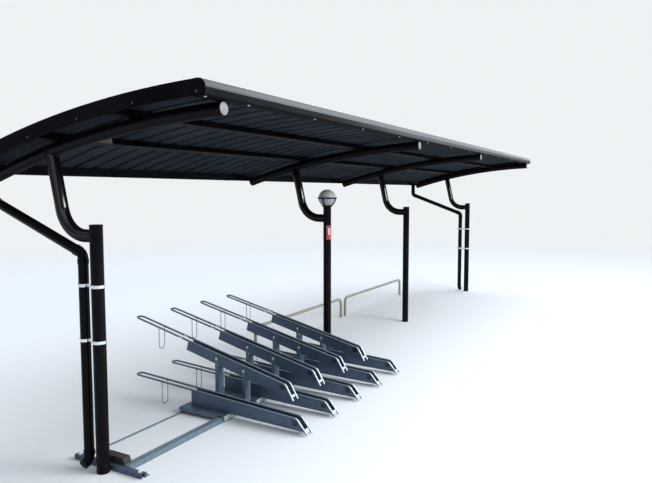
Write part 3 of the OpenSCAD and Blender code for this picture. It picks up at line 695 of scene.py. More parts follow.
BEIGE_PLATE = WeatheredCoat(
    "beige_plate_coat", Slot.BEIGE_PLATE, (0.14, 0.105, 0.085), roughness=0.5,
    faded=(0.19, 0.15, 0.12), dirt=(0.2, 0.16, 0.13), streaks=0.5)
BLOCK = Moulded(
    "brown_block", Slot.STOP_RUBBER, (0.013, 0.009, 0.010), roughness=0.6,
    stained=(0.030, 0.024, 0.024), grain=260.0, stain=0.5)
BLACK_PLUG = Moulded(
    "black_plug", Slot.STOP_RUBBER, (0.010, 0.012, 0.016), roughness=0.4,
    stained=(0.03, 0.03, 0.032), grain=600.0, stain=0.2)
BEIGE = WeatheredCoat(
    "beige_coat", Slot.BEIGE_PAINT, (0.26, 0.25, 0.205), roughness=0.36,
    faded=(0.33, 0.315, 0.265), dirt=(0.13, 0.12, 0.10), splash=0.6, dust=0.3)
MASTIC = Moulded(
    "grey_closure", Slot.ROOF_PAINT, (0.05, 0.055, 0.062), roughness=0.7,
    stained=(0.08, 0.08, 0.085))

NODE_FINISHES: dict[Finish, tuple[str, ...]] = {
    DARK: ("post_1", "post_2", "post_3", "post_4", "post_caps", "rafters", "purlins",
           "end_fascias", "rear_gutter", "downpipes", "lamp_base", "lamp_guard"),
    ARM: ("arms",),
    FASCIA: ("front_fascia",),
    SHEET: ("near_roof_sheet", "middle_roof_sheet", "far_roof_sheet"),
    PLUG: ("rafter_caps",),
    BRIGHT: ("pipe_bands",),
    GLOBE: ("lamp_globe",),
    HOOD: ("lamp_hood",),
    RED: ("sign_plate",),
    BEIGE_PLATE: ("label_plate",),
    ZINC_FLOOR: ("floor_rails",),
    ZINC: ("rail_end_bars",),
    BLOCK: ("end_stop",),
    BEIGE: ("wheel_stops",),
}


def dress_nodes() -> None:
    """Gives every CAD node its finish."""
    finish_of = {name: finish for finish, names in NODE_FINISHES.items() for name in names}
    for name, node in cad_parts.items():
        channel = {"low_channel": ZINC_LOW, "high_channel": ZINC_HIGH}.get(name[:-2], ZINC_CARRIAGE)
        finish = finish_of.get(name, channel)
        if not node.material_slots:
            node.data.materials.append(finish.material())
        for slot in node.material_slots:
            slot.material = finish.material()
    LOG.info("dressed %d nodes", len(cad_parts))


# Modelling


def placed(name: str, data: bpy.types.ID) -> bpy.types.Object:
    """Returns a new object that stands in the scene.

    Args:
        name: The object's name.
        data: Its mesh, lamp or camera.

    Returns:
        The object.
    """
    made = bpy.data.objects.new(name, data)
    bpy.context.scene.collection.objects.link(made)
    return made


def bevel(part: bmesh.types.BMesh, edges: Sequence[bmesh.types.BMEdge], width: float) -> None:
    """Bevels a part's edges."""
    bmesh.ops.bevel(part, geom=edges, offset=width, segments=2, profile=0.5, affect="EDGES",
                    material=-1)


def clean(part: bmesh.types.BMesh) -> None:
    """Merges the points of a part that meet, and turns its faces outwards."""
    bmesh.ops.remove_doubles(part, verts=part.verts[:], dist=MERGE)
    bmesh.ops.recalc_face_normals(part, faces=part.faces[:])


class Workpiece:
    """A mesh in the making, in metres in the frame's axes."""

    def __init__(self) -> None:
        """Starts with an empty mesh."""
        self.bm = bmesh.new()

    def join(self, part: bmesh.types.BMesh, place: Matrix) -> None:
        """Moves a part to its place and adds it to the piece.

        Args:
            part: The part, which is used up.
            place: Where its origin goes.
        """
        bmesh.ops.transform(part, matrix=place, verts=part.verts)
        mesh = bpy.data.meshes.new("part")
        part.to_mesh(mesh)
        part.free()
        self.bm.from_mesh(mesh)
        bpy.data.meshes.remove(mesh)

    def rod(self, place: Matrix, radius: float, length: float, sides: int = 24,
            chamfer: float = 0.0) -> None:
        """Adds a round or many-sided bar that stands on its place along local Z.

        Args:
            place: Where the foot of the bar is.
            radius: The bar's radius, to the corners.
            length: The bar's length.
            sides: How many sides it has.
            chamfer: Width of the bevel round both ends.
        """
        part = bmesh.new()
        bmesh.ops.create_cone(part, cap_ends=True, segments=sides, radius1=radius, radius2=radius,
                              depth=length, matrix=shift(0, 0, length / 2))
        if chamfer:
            bevel(part, [e for e in part.edges
                         if abs(e.verts[0].co.z - e.verts[1].co.z) < length / 4], chamfer)
        self.join(part, place)

    def block(self, place: Matrix, size: Sequence[float], chamfer: float = 0.0) -> None:
        """Adds a block that is centred on its place, with bevelled edges.

        Args:
            place: Where its middle is.
            size: Its size along each axis.
            chamfer: Width of the bevel round its edges.
        """
        part = bmesh.new()
        bmesh.ops.create_cube(part, size=1.0, matrix=Matrix.Diagonal((*size, 1.0)))
        if chamfer:
            bevel(part, part.edges[:], chamfer)
        self.join(part, place)

    def turned(self, place: Matrix, profile: Sequence[Point], steps: int = 24, ring: bool = False,
               angle: float = math.tau) -> None:
        """Adds a turned part.

        Args:
            place: Where the profile's origin is. It is spun round local Z.
            profile: Points of radius and height.
            steps: How many steps the turn has.
            ring: Whether the profile closes on itself, as for a ring or a bent plate.
            angle: How far it is turned, from local X.
        """
        part = bmesh.new()
        verts = [part.verts.new((r, 0.0, z)) for r, z in profile]
        geometry = list(verts)
        full = angle >= math.tau
        if ring and not full:
            geometry.append(part.faces.new(verts))
            geometry += part.edges[:]
        else:
            pairs = list(zip(verts, verts[1:])) + ([(verts[-1], verts[0])] if ring else [])
            geometry += [part.edges.new(pair) for pair in pairs]
        bmesh.ops.spin(part, geom=geometry, cent=(0, 0, 0), axis=(0, 0, 1), angle=angle,
                       steps=steps, use_merge=full)
        clean(part)
        self.join(part, place)

    def bead(self, points: Sequence[Vector], radius: float, sides: int = 2) -> None:
        """Adds a closed round bead through points, with a smoothness of its section.

        Args:
            points: The points that it runs through.
            radius: The bead's radius.
            sides: How smooth its section is.
        """
        curve = bpy.data.curves.new("bead", "CURVE")
        curve.dimensions = "3D"
        curve.bevel_depth = radius
        curve.bevel_resolution = sides
        spline = curve.splines.new("POLY")
        spline.points.add(len(points) - 1)
        for spot, point in zip(spline.points, points):
            spot.co = (*point, 1.0)
        spline.use_cyclic_u = True
        line = bpy.data.objects.new("bead", curve)
        mesh = bpy.data.meshes.new_from_object(line)
        part = bmesh.new()
        part.from_mesh(mesh)
        clean(part)
        bpy.data.objects.remove(line)
        bpy.data.curves.remove(curve)
        bpy.data.meshes.remove(mesh)
        self.join(part, Matrix.Identity(4))

    def stamp(self, pattern: bpy.types.Mesh, places: Iterable[Matrix]) -> None:
        """Adds a copy of a pattern at each place.

        Args:
            pattern: The mesh to copy.
            places: Where each copy's origin goes.
        """
        for place in places:
            copy = pattern.copy()
            copy.transform(place)
            self.bm.from_mesh(copy)
            bpy.data.meshes.remove(copy)

    def pattern(self, name: str) -> bpy.types.Mesh:
        """Returns the piece as a mesh that stamp() can copy.

        Args:
            name: The mesh's name.

        Returns:
            The mesh.
        """
        mesh = bpy.data.meshes.new(name)
        self.bm.to_mesh(mesh)
        self.bm.free()
        return mesh

    def finish(self, name: str, body: str, finish: Finish,
               crease: float = 32.0) -> bpy.types.Object:
        """Makes the piece an object that rides on a body.

        Args:
            name: The piece's name.
            body: The CAD body that carries it.
            finish: Its finish.
            crease: The angle in degrees past which an edge stays sharp.

        Returns:
            The finished object.
        """
        mesh = self.pattern(name)
        mesh.materials.append(finish.material())
        mesh.shade_smooth()
        mesh.set_sharp_from_angle(angle=math.radians(crease))
        piece = placed(name, mesh)
        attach(piece, body)
        LOG.info("%s: %d faces on %s", name, len(mesh.polygons), body)
        return piece


@dataclass(frozen=True)
class Fastener:
    """A screw or bolt head that faces local Z, on an optional washer."""

    name: str
    head_r: float
    head_h: float
    hexagonal: bool = False
    washer_r: float = 0.0
    washer_h: float = 0.0
    stud_r: float = 0.0
    stud_h: float = 0.0
    sides: int = 12

    def mesh(self) -> bpy.types.Mesh:
        """Returns the fastener's mesh, made the first time.

        Returns:
            The mesh, whose foot is at the origin.
        """
        made = bpy.data.meshes.get(self.name)
        if made is not None:
            return made
        work = Workpiece()
        foot = self.washer_h
        if foot:
            rim = foot * 0.4
            washer = [(0, 0), (self.washer_r, 0), (self.washer_r, foot - rim),
                      (self.washer_r - rim, foot), (0, foot)]
            work.turned(Matrix.Identity(4), washer, self.sides)
        seat = shift(0, 0, foot)
        if self.hexagonal:
            work.rod(seat, self.head_r, self.head_h, 6, self.head_r * 0.08)
        else:
            arc = [(self.head_r * math.cos(a), self.head_h * math.sin(a)) for a in (0.5, 1.1)]
            work.turned(seat, [(0, 0), (self.head_r, 0), *arc, (0, self.head_h)], self.sides)
        if self.stud_h:
            top = shift(0, 0, foot + self.head_h)
            work.rod(top, self.stud_r, self.stud_h, 10, self.stud_r * 0.15)
        return work.pattern(self.name)


FASCIA_SCREW = Fastener("fascia_screw", 0.0062, 0.0045, washer_r=0.0078, washer_h=0.001)
ROOF_BOLT = Fastener(
    "roof_bolt", 0.0062, 0.0045, hexagonal=True, washer_r=0.012, washer_h=0.0022, sides=10)
SMALL_BOLT = Fastener(
    "small_bolt", 0.0068, 0.0045, hexagonal=True, washer_r=0.0085, washer_h=0.0012)
LEG_BOLT = Fastener(
    "leg_bolt", 0.0085, 0.0052, hexagonal=True, washer_r=0.0105, washer_h=0.0014)
STUD_NUT = Fastener(
    "stud_nut", 0.0098, 0.008, hexagonal=True, washer_r=0.0118, washer_h=0.0018, stud_r=0.005,
    stud_h=0.008)
PLATE_SCREW = Fastener("plate_screw", 0.0038, 0.0018)


# Sub-assemblies


@dataclass(frozen=True)
class RoofCurve:
    """The arc in the YZ plane that rafters, purlins and sheets follow."""

    radius: float = 7.0
    crown_y: float = -1.18
    rafter_z: float = 1.975
    rafter_r: float = 0.03815
    purlin_h: float = 0.04
    rib_h: float = 0.045
    sheet_t: float = 0.0012

    @property
    def centre_z(self) -> float:
        """Height of the arc's centre."""
        return self.rafter_z - math.sqrt(self.radius ** 2 - self.crown_y ** 2)

    @property
    def sheet_r(self) -> float:
        """Radius of the sheets' underside."""
        return self.radius + self.rafter_r + self.purlin_h + SEAT

    @property
    def rib_r(self) -> float:
        """Radius of the ribs' top side."""
        return self.sheet_r + self.rib_h + self.sheet_t

    def tilt(self, y: float, radius: float) -> float:
        """Returns the angle between the arc's outward direction and +Z at a depth."""
        return math.asin((y - self.crown_y) / radius)

    def spot(self, x: float, y: float, radius: float, turn: float = 0.0) -> Matrix:
        """Returns the place on the arc of that radius whose local Z points outwards.

        Args:
            x: Distance along the row.
            y: Depth.
            radius: Radius of the arc.
            turn: Extra turn round the row's direction.

        Returns:
            The place.
        """
        a = self.tilt(y, radius)
        point = (x, self.crown_y + radius * math.sin(a), self.centre_z + radius * math.cos(a))
        return shift(*point) @ Matrix.Rotation(turn - a, 4, "X")


CURVE = RoofCurve()


@dataclass
class Studio:
    """The camera at the photograph's angle, soft light, a pale floor and a pale backdrop."""

    eye: Sequence[float] = (-2.42988, -2.85651, 1.66)
    heading: float = 28.8034
    pitch: float = -4.6392
    focal_pixels: float = 610.0
    image_width: float = 652.0
    centre_x: float = 327.5
    floor_size: float = 60.0
    floor_middle: Sequence[float] = (3.8, 0.0, 0.0)
    floor_drop: float = 0.0005
    floor_colour: Colour = (0.72, 0.74, 0.76)
    fade_from: float = 6.0
    fade_to: float = 17.0
    sky: Colour = (0.85, 0.92, 1.0)
    backdrop: Colour = (0.86, 0.885, 0.90)
    sky_low: float = 0.16
    sky_high: float = 4.0
    skyline: Point = (0.02, 0.12)
    skyline_fall: Point = (-0.34, -0.24)
    front_glow: Sequence[float] = (-0.6, 0.45, 1.0, 0.12)
    far_glow: Sequence[float] = (-0.7, 0.9, 0.22, 1.0)
    end_dimming: Sequence[float] = (0.8, 1.0, 1.0, 0.45)
    key_power: float = 420.0

    def build(self) -> None:
        """Makes camera, lamps, world and floor."""
        self.camera()
        self.lamp("key_light", (4.5, -9.0, 5.5), 5.0, self.key_power)
        self.lamp("front_light", (2.5, -8.6, 5.1), 1.6, self.key_power, 5.5)
        self.lamp("rear_light", (9.0, 3.0, 18.0), 5.0, self.key_power * 1.2)
        self.world()
        self.floor()
        bpy.context.scene.view_settings.view_transform = "Standard"

    def camera(self) -> None:
        """Makes the camera."""
        data = bpy.data.cameras.new("camera")
        data.sensor_width = 36.0
        data.lens = self.focal_pixels / self.image_width * data.sensor_width
        data.shift_x = (self.image_width / 2 - self.centre_x) / self.image_width
        data.clip_start = 0.02
        data.clip_end = 200.0
        camera = placed("camera", data)
        camera.location = self.eye
        camera.rotation_euler = (math.radians(90 + self.pitch), 0.0,
                                 math.radians(self.heading - 90))
        bpy.context.scene.camera = camera

    def lamp(self, name: str, spot: Sequence[float], size: float, power: float,
             wide: float = 0.0) -> None:
        """Makes a soft lamp that faces the middle of the shelter.

        Args:
            name: The lamp's name.
            spot: Where it stands.
            size: Its height, and its width where that isn't given.
            power: Its power in watts.
            wide: Its width.
        """
        data = bpy.data.lights.new(name, "AREA")
        data.shape = "RECTANGLE"
        data.size = wide or size
        data.size_y = size
        data.energy = power
        lamp = placed(name, data)
        lamp.location = spot
        middle = sum(cad_box, Vector()) / 2
        lamp.rotation_euler = (Vector(spot) - middle).to_track_quat("Z", "Y").to_euler()

    def world(self) -> None:
        """Makes the backdrop that the camera sees, and the sky that lights the shelter.

        The sky starts at a skyline that falls to the rear. It is strongest in front and towards
        the far end, and weaker again at the far end itself.
        """
        world = bpy.data.worlds.new("studio")
        world.use_nodes = True
        bpy.context.scene.world = world
        graph = Graph(world.node_tree)
        toward = graph.parts(graph.here())
        lit = graph.ramp(toward["Z"], *self.skyline, 0.0, self.sky_high)
        falling = graph.math("ADD", toward["Y"], toward["Z"])
        for value, limits in ((falling, self.skyline_fall), (toward["Y"], self.front_glow),
                              (toward["X"], self.far_glow), (toward["X"], self.end_dimming)):
            lit = graph.times(lit, graph.ramp(value, *limits))
        lit = graph.math("ADD", lit, self.sky_low)
        light = graph.add("ShaderNodeBackground", {"Color": opaque(self.sky), "Strength": lit})
        seen = graph.add("ShaderNodeBackground", {"Color": opaque(self.backdrop)})
        mixed = graph.add("ShaderNodeMixShader", {0: self.seen_rays(graph), 1: light.outputs[0],
                                                  2: seen.outputs[0]})
        graph.add("ShaderNodeOutputWorld", {"Surface": mixed.outputs[0]})

    @staticmethod
    def seen_rays(graph: Graph) -> Socket:
        """Returns 1 for rays from the camera or through clear parts, and 0 for the rest."""
        path = graph.add("ShaderNodeLightPath").outputs
        return graph.larger(path["Is Camera Ray"], path["Is Transmission Ray"])

    def floor(self) -> None:
        """Makes the floor, which turns into the backdrop far away."""
        middle = Vector(self.floor_middle)
        part = bmesh.new()
        bmesh.ops.create_grid(part, x_segments=1, y_segments=1, size=self.floor_size,
                              matrix=shift(*middle - Vector((0, 0, self.floor_drop))))
        mesh = bpy.data.meshes.new("floor")
        part.to_mesh(mesh)
        part.free()
        material = bpy.data.materials.new("pale_floor")
        material.use_nodes = True
        graph = Graph(material.node_tree)
        near = graph.add("ShaderNodeBsdfPrincipled", {"Base Color": opaque(self.floor_colour),
                                                      "Roughness": 0.9, "Specular IOR Level": 0.1})
        far = graph.add("ShaderNodeEmission", {"Color": opaque(self.backdrop)})
        reach = graph.vector_math("DISTANCE", graph.here(), middle, output="Value")
        share = graph.times(graph.ramp(reach, self.fade_from, self.fade_to),
                           self.seen_rays(graph))
        mixed = graph.add("ShaderNodeMixShader", {0: share, 1: near.outputs["BSDF"],
                                                  2: far.outputs[0]})
        graph.add("ShaderNodeOutputMaterial", {"Surface": mixed.outputs[0]})
        mesh.materials.append(material)
        floor = placed("floor", mesh)


@dataclass
class RoofTrim:
    """Screws, bolts, cleats and closures of the roof."""

    posts: tuple[float, ...]
    roof_x0: float = -0.165
    roof_x1: float = 7.765
    rib_margin: float = 0.09
    rib_pitch: float = 0.17
    nose_r: float = 0.046
    front_y: float = -0.96
    front_w: float = 0.07
    end_top_drop: float = 0.0015
    screw_pitch: float = 0.339
    screw_margin: float = 0.012
    screw_lean: float = 21.0
    lower_screw_in: float = 0.011
    end_screw_in: float = 0.014
    end_screw_ys: tuple[float, ...] = tuple(-0.875 + 0.309 * i for i in range(7))
    web_screw_ys: tuple[float, ...] = tuple(-0.905 + 0.418 * i for i in range(5))
    web_screw_drop: float = 0.012
    purlin_ys: tuple[float, float] = (-0.32, 0.273)
    purlin_w: float = 0.056
    cleat: tuple[float, float] = (0.09, 0.005)
    fold_t: float = 0.002
    end_drop: float = 0.026
    drip_ys: tuple[float, float] = (-0.889, 0.88)
    drip_h: float = 0.008
    gutter_bolt_in: float = 0.012
    closure_in: float = 0.008

    def build(self) -> None:
        """Makes all of the roof's small parts."""
        self.fascia_screws()
        self.end_screws()
        self.end_drips()
        self.rib_bolts()
        self.closures()
        self.cleats()
        self.gutter_parts()

    def ribs(self) -> list[float]:
        """Returns the ribs' places along the row.

        Returns:
            The ribs' middles, from the near end.
        """
        span = self.roof_x1 - self.roof_x0 - 2 * self.rib_margin
        count = round(span / self.rib_pitch)
        return [self.roof_x0 + self.rib_margin + span * i / count for i in range(count + 1)]

    def fascia_screws(self) -> None:
        """Makes the bright screws along the front member's upper edge, and the same screws along
        its lower edge in a darker copy, as painted shade under the nose.
        """
        low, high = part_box("front_fascia")
        span = self.roof_x1 - self.roof_x0 - 2 * self.screw_margin
        count = round(span / self.screw_pitch)
        lean = math.radians(self.screw_lean)
        y = self.front_y + self.nose_r - self.nose_r * math.sin(lean)
        z = high.z - self.nose_r + self.nose_r * math.cos(lean)
        tilt = turned_by(self.screw_lean, "X")
        upper, lower = Workpiece(), Workpiece()
        for i in range(count + 1):
            x = self.roof_x0 + self.screw_margin + span * i / count
            upper.stamp(FASCIA_SCREW.mesh(), [shift(x, y, z) @ tilt])
            if i == 0 or i % 2:
                under = at(x, self.front_y + self.lower_screw_in, low.z, Facing.DOWN)
                lower.stamp(FASCIA_SCREW.mesh(), [under])
        upper.finish("front_fascia_screws", ROOT_BODY, SCREW)
        lower.finish("front_fascia_lower_screws", ROOT_BODY, SHADED_SCREW)

    def end_screws(self) -> None:
        """Makes the bright screws on the end members' top edges and the dark ones on their webs."""
        bright, dark = Workpiece(), Workpiece()
        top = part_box("front_fascia")[1].z - self.end_top_drop
        top_r = math.hypot(self.front_y + self.front_w - CURVE.crown_y, top - CURVE.centre_z)
        web_r = CURVE.sheet_r - self.web_screw_drop
        for x, facing, inward in ((self.roof_x0, Facing.LEFT, self.end_screw_in),
                                  (self.roof_x1, Facing.RIGHT, -self.end_screw_in)):
            bright.stamp(FASCIA_SCREW.mesh(),
                         [CURVE.spot(x + inward, y, top_r) for y in self.end_screw_ys])
            spots = [CURVE.spot(x, y, web_r).translation for y in self.web_screw_ys]
            dark.stamp(FASCIA_SCREW.mesh(), [at(*s, facing) for s in spots])
        bright.finish("end_fascia_screws", ROOT_BODY, SCREW)
        dark.finish("end_web_screws", ROOT_BODY, DARK_SCREW)

    def end_drips(self) -> None:
        """Makes the folded drip edges under the end members."""
        top = CURVE.sheet_r - self.end_drop - SEAT
        low, thick = top - self.drip_h, self.fold_t
        first, last = (CURVE.tilt(y, top) for y in self.drip_ys)
        # The sweep starts at the rear: local X points outwards there, and local Z along the row.
        axes = Matrix(((0, math.sin(last), math.cos(last)), (0, -math.cos(last), math.sin(last)),
                       (1, 0, 0))).transposed().to_4x4()
        work = Workpiece()
        for x in (self.roof_x0, self.roof_x1 - thick):
            place = shift(x, CURVE.crown_y, CURVE.centre_z) @ axes
            work.turned(place, [(low, 0), (top, 0), (top, thick), (low, thick)], 60, ring=True,
                        angle=last - first)
        work.finish("end_drip_edges", ROOT_BODY, DARK)

    def rib_bolts(self) -> None:
        """Makes the bolts that hold the ribs to the purlins and the gutter."""
        work = Workpiece()
        gutter_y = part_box("rear_gutter")[0].y + self.gutter_bolt_in
        for y in (*self.purlin_ys, gutter_y):
            work.stamp(ROOF_BOLT.mesh(), [CURVE.spot(x, y, CURVE.rib_r) for x in self.ribs()])
        work.finish("rib_bolts", ROOT_BODY, SCREW)

    def closures(self) -> None:
        """Makes the closure plates in the ribs' rear ends."""
        part = bmesh.new()
        foot, top, thick, gap = 0.0205, 0.0125, 0.0015, 0.0006
        height = CURVE.rib_h - gap
        corners = [(-foot, 0, gap), (foot, 0, gap), (top, 0, height), (-top, 0, height)]
        face = part.faces.new([part.verts.new(c) for c in corners])
        bmesh.ops.solidify(part, geom=[face], thickness=thick)
        bmesh.ops.recalc_face_normals(part, faces=part.faces[:])
        plate = Workpiece()
        plate.join(part, Matrix.Identity(4))
        pattern = plate.pattern("closure_plate")
        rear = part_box("near_roof_sheet")[1].y - self.closure_in
        work = Workpiece()
        work.stamp(pattern, [CURVE.spot(x, rear, CURVE.sheet_r) for x in self.ribs()])
        work.finish("rib_closures", ROOT_BODY, MASTIC)

    def cleats(self) -> None:
        """Makes the cleats that hold the purlins to the rafters, with their bolts."""
        cleat_l, cleat_t = self.cleat
        size = (cleat_l, cleat_t, CURVE.purlin_h - 0.004)
        face, middle = self.purlin_w / 2 + cleat_t / 2 + SEAT, CURVE.purlin_h / 2
        bolt_x, bolt_y = 0.028, face + cleat_t / 2
        work, bolts = Workpiece(), Workpiece()
        for x in self.posts:
            for y in self.purlin_ys:
                spot = CURVE.spot(x, y, CURVE.radius + CURVE.rafter_r)
                work.block(spot @ shift(0, face, middle), size, 0.001)
                places = [spot @ at(dx, bolt_y, middle, Facing.REAR) for dx in (-bolt_x, bolt_x)]
                bolts.stamp(SMALL_BOLT.mesh(), places)
        work.finish("purlin_cleats", ROOT_BODY, DARK)
        bolts.finish("purlin_cleat_bolts", ROOT_BODY, DARK_SCREW)

    def gutter_parts(self) -> None:
        """Makes the straps across the gutter and the covers of its two joints."""
        low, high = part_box("rear_gutter")
        middle, size = (low + high) / 2, high - low
        straps, covers = Workpiece(), Workpiece()
        strap = (0.025, size.y - 2 * self.fold_t - 0.0006, 0.002)
        strap_drop, strap_count = 0.02, 9
        for i in range(strap_count):
            x = low.x + size.x * (i + 0.5) / strap_count
            straps.block(at(x, middle.y, high.z - strap_drop), strap, 0.0004)
        wide, thick, inset, lift = 0.04, 0.001, 0.004, 0.0008
        for share in (1 / 3, 2 / 3):
            x = low.x + size.x * share
            covers.block(at(x, high.y + lift, middle.z), (wide, thick, size.z - inset), 0.0003)
            covers.block(at(x, middle.y, low.z - lift), (wide, size.y - inset, thick), 0.0003)
        straps.finish("gutter_straps", ROOT_BODY, DARK)
        covers.finish("gutter_joint_covers", ROOT_BODY, DARK)


@dataclass
class Framework:
    """Weld beads of posts, arms and rafters, and the rims and domes of the rafters' plugs."""

    posts: tuple[float, ...]
    post_r: float = 0.03815
    arm_r: float = 0.03815
    arm_z: float = 1.406
    arm_reach: float = 0.363
    bead_r: float = 0.0028
    plug_r: float = 0.0332
    plug_h: float = 0.007
    plug_rise: float = 0.0006
    rafter_front: float = 0.935
    rim: tuple[Point, ...] = ((0.0336, 0), (0.0380, 0), (0.0380, 0.002), (0.0370, 0.004),
                              (0.0350, 0.004), (0.0336, 0.0025))

    def build(self) -> None:
        """Makes the beads, the rims and the plugs' domes."""
        beads, rims, domes = Workpiece(), Workpiece(), Workpiece()
        crown = [(self.plug_r * math.cos(a), self.plug_rise + self.plug_h * math.sin(a))
                 for a in (0.25, 0.5, 0.8, 1.15)]
        dome = [(0, 0), (self.plug_r, 0), *crown, (0, self.plug_rise + self.plug_h)]
        for x in self.posts:
            beads.bead(self.post_joint(x), self.bead_r)
            beads.bead(self.rafter_joint(x), self.bead_r)
            front = CURVE.spot(x, -self.rafter_front, CURVE.radius, math.pi / 2)
            rims.turned(front, self.rim, 36, ring=True)
            domes.turned(front, dome, 36)
        beads.finish("frame_weld_beads", ROOT_BODY, DARK, crease=60)
        rims.finish("rafter_end_rims", ROOT_BODY, DARK)
        domes.finish("rafter_plug_domes", ROOT_BODY, PLUG)

    def post_joint(self, x: float) -> list[Vector]:
        """Returns the saddle line where an arm meets its post.

        Args:
            x: The post's middle along the row.

        Returns:
            The line's points, once round.
        """
        arm, post = self.arm_r + self.bead_r * 0.4, self.post_r + self.bead_r * 0.4
        return [Vector((x + arm * math.cos(t), math.sqrt(post ** 2 - (arm * math.cos(t)) ** 2),
                        self.arm_z + arm * math.sin(t))) for t in full_turn(48)]

    def rafter_joint(self, x: float) -> list[Vector]:
        """Returns the saddle line where an arm meets its rafter.

        Args:
            x: The rafter's middle along the row.

        Returns:
            The line's points, once round.
        """
        arm, rafter = self.arm_r + self.bead_r * 0.2, CURVE.rafter_r + self.bead_r * 0.5
        spot = CURVE.spot(x, self.arm_reach, CURVE.radius)
        return [spot @ Vector((arm * math.cos(t), arm * math.sin(t),
                               -math.sqrt(rafter ** 2 - (arm * math.cos(t)) ** 2)))
                for t in full_turn(48)]


@dataclass
class RainPipe:
    """Sockets, clamp ears and bolts of one rainwater pipe."""

    post_x: float
    index: int
    pipe_r: float = 0.030
    elbow_low_z: float = 1.300
    elbow_high_z: float = 1.612
    elbow_r: float = 0.045
    pipe_y: float = 0.11755
    band_drop: float = 0.0
    band_zs: tuple[float, float] = (1.105, 0.778)
    band_h: float = 0.018
    band_t: float = 0.0018
    shoe_z: float = 0.084
    socket_h: float = 0.030
    outlet_h: float = 0.0255

    def build(self) -> None:
        """Makes the sockets and the clamps."""
        self.sockets()
        self.clamps()

    def sockets(self) -> None:
        """Makes the socket rings at the elbows, the outlet and the shoe."""
        gutter_low, gutter_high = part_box("rear_gutter")
        outlet_y = (gutter_low.y + gutter_high.y) / 2
        lean = math.pi / 2 - math.atan2(self.elbow_high_z - self.elbow_low_z,
                                        outlet_y - self.pipe_y)
        tangent = self.elbow_r * math.tan(lean / 2)
        along = Vector((0, math.sin(lean), math.cos(lean)))
        up = Vector((0, 0, 1))
        tilt = Matrix.Rotation(-lean, 4, "X")
        low = Vector((self.post_x, self.pipe_y, self.elbow_low_z))
        high = Vector((self.post_x, outlet_y, self.elbow_high_z))
        inner, outer = self.pipe_r + 0.0002, self.pipe_r + 0.0026
        bead = outer + 0.001
        profile = [(inner, 0), (outer - 0.0006, 0), (outer, 0.0008), (outer, 0.026), (bead, 0.027),
                   (bead, 0.0295), (outer, self.socket_h), (inner, self.socket_h)]
        short = [*profile[:3], (outer, self.outlet_h), (inner, self.outlet_h)]
        work = Workpiece()
        for place in (shift(*low + along * tangent) @ tilt,
                      shift(*high - along * (tangent + self.socket_h)) @ tilt,
                      shift(*low - up * (tangent + self.socket_h)),
                      shift(*high + up * tangent),
                      shift(self.post_x, self.pipe_y, self.shoe_z)):
            work.turned(place, profile, 32, ring=True)
        outlet = Vector((self.post_x, outlet_y, gutter_low.z - self.outlet_h - 0.0005))
        work.turned(shift(*outlet), short, 32, ring=True)
        work.finish(f"pipe_{self.index}_sockets", ROOT_BODY, DARK)

    def clamps(self) -> None:
        """Makes the ears and bolts that close each band round the pipe."""
        ears, bolts = Workpiece(), Workpiece()
        thick, wide, aside = 0.0016, 0.015, 0.0035
        ear = (thick, wide, self.band_h - 0.001)
        y = self.pipe_y + self.pipe_r + self.band_t
        for band_z in self.band_zs:
            z = band_z - self.band_drop + self.band_h / 2
            for side, facing in ((1, Facing.RIGHT), (-1, Facing.LEFT)):
                ears.block(at(self.post_x + side * aside, y + 0.007, z), ear, 0.0004)
                face_x = self.post_x + side * (aside + thick / 2 + 0.0001)
                bolts.stamp(SMALL_BOLT.mesh(), [at(face_x, y + 0.008, z, facing)])
        ears.finish(f"pipe_{self.index}_band_ears", ROOT_BODY, BRIGHT)
        bolts.finish(f"pipe_{self.index}_band_bolts", ROOT_BODY, SCREW)


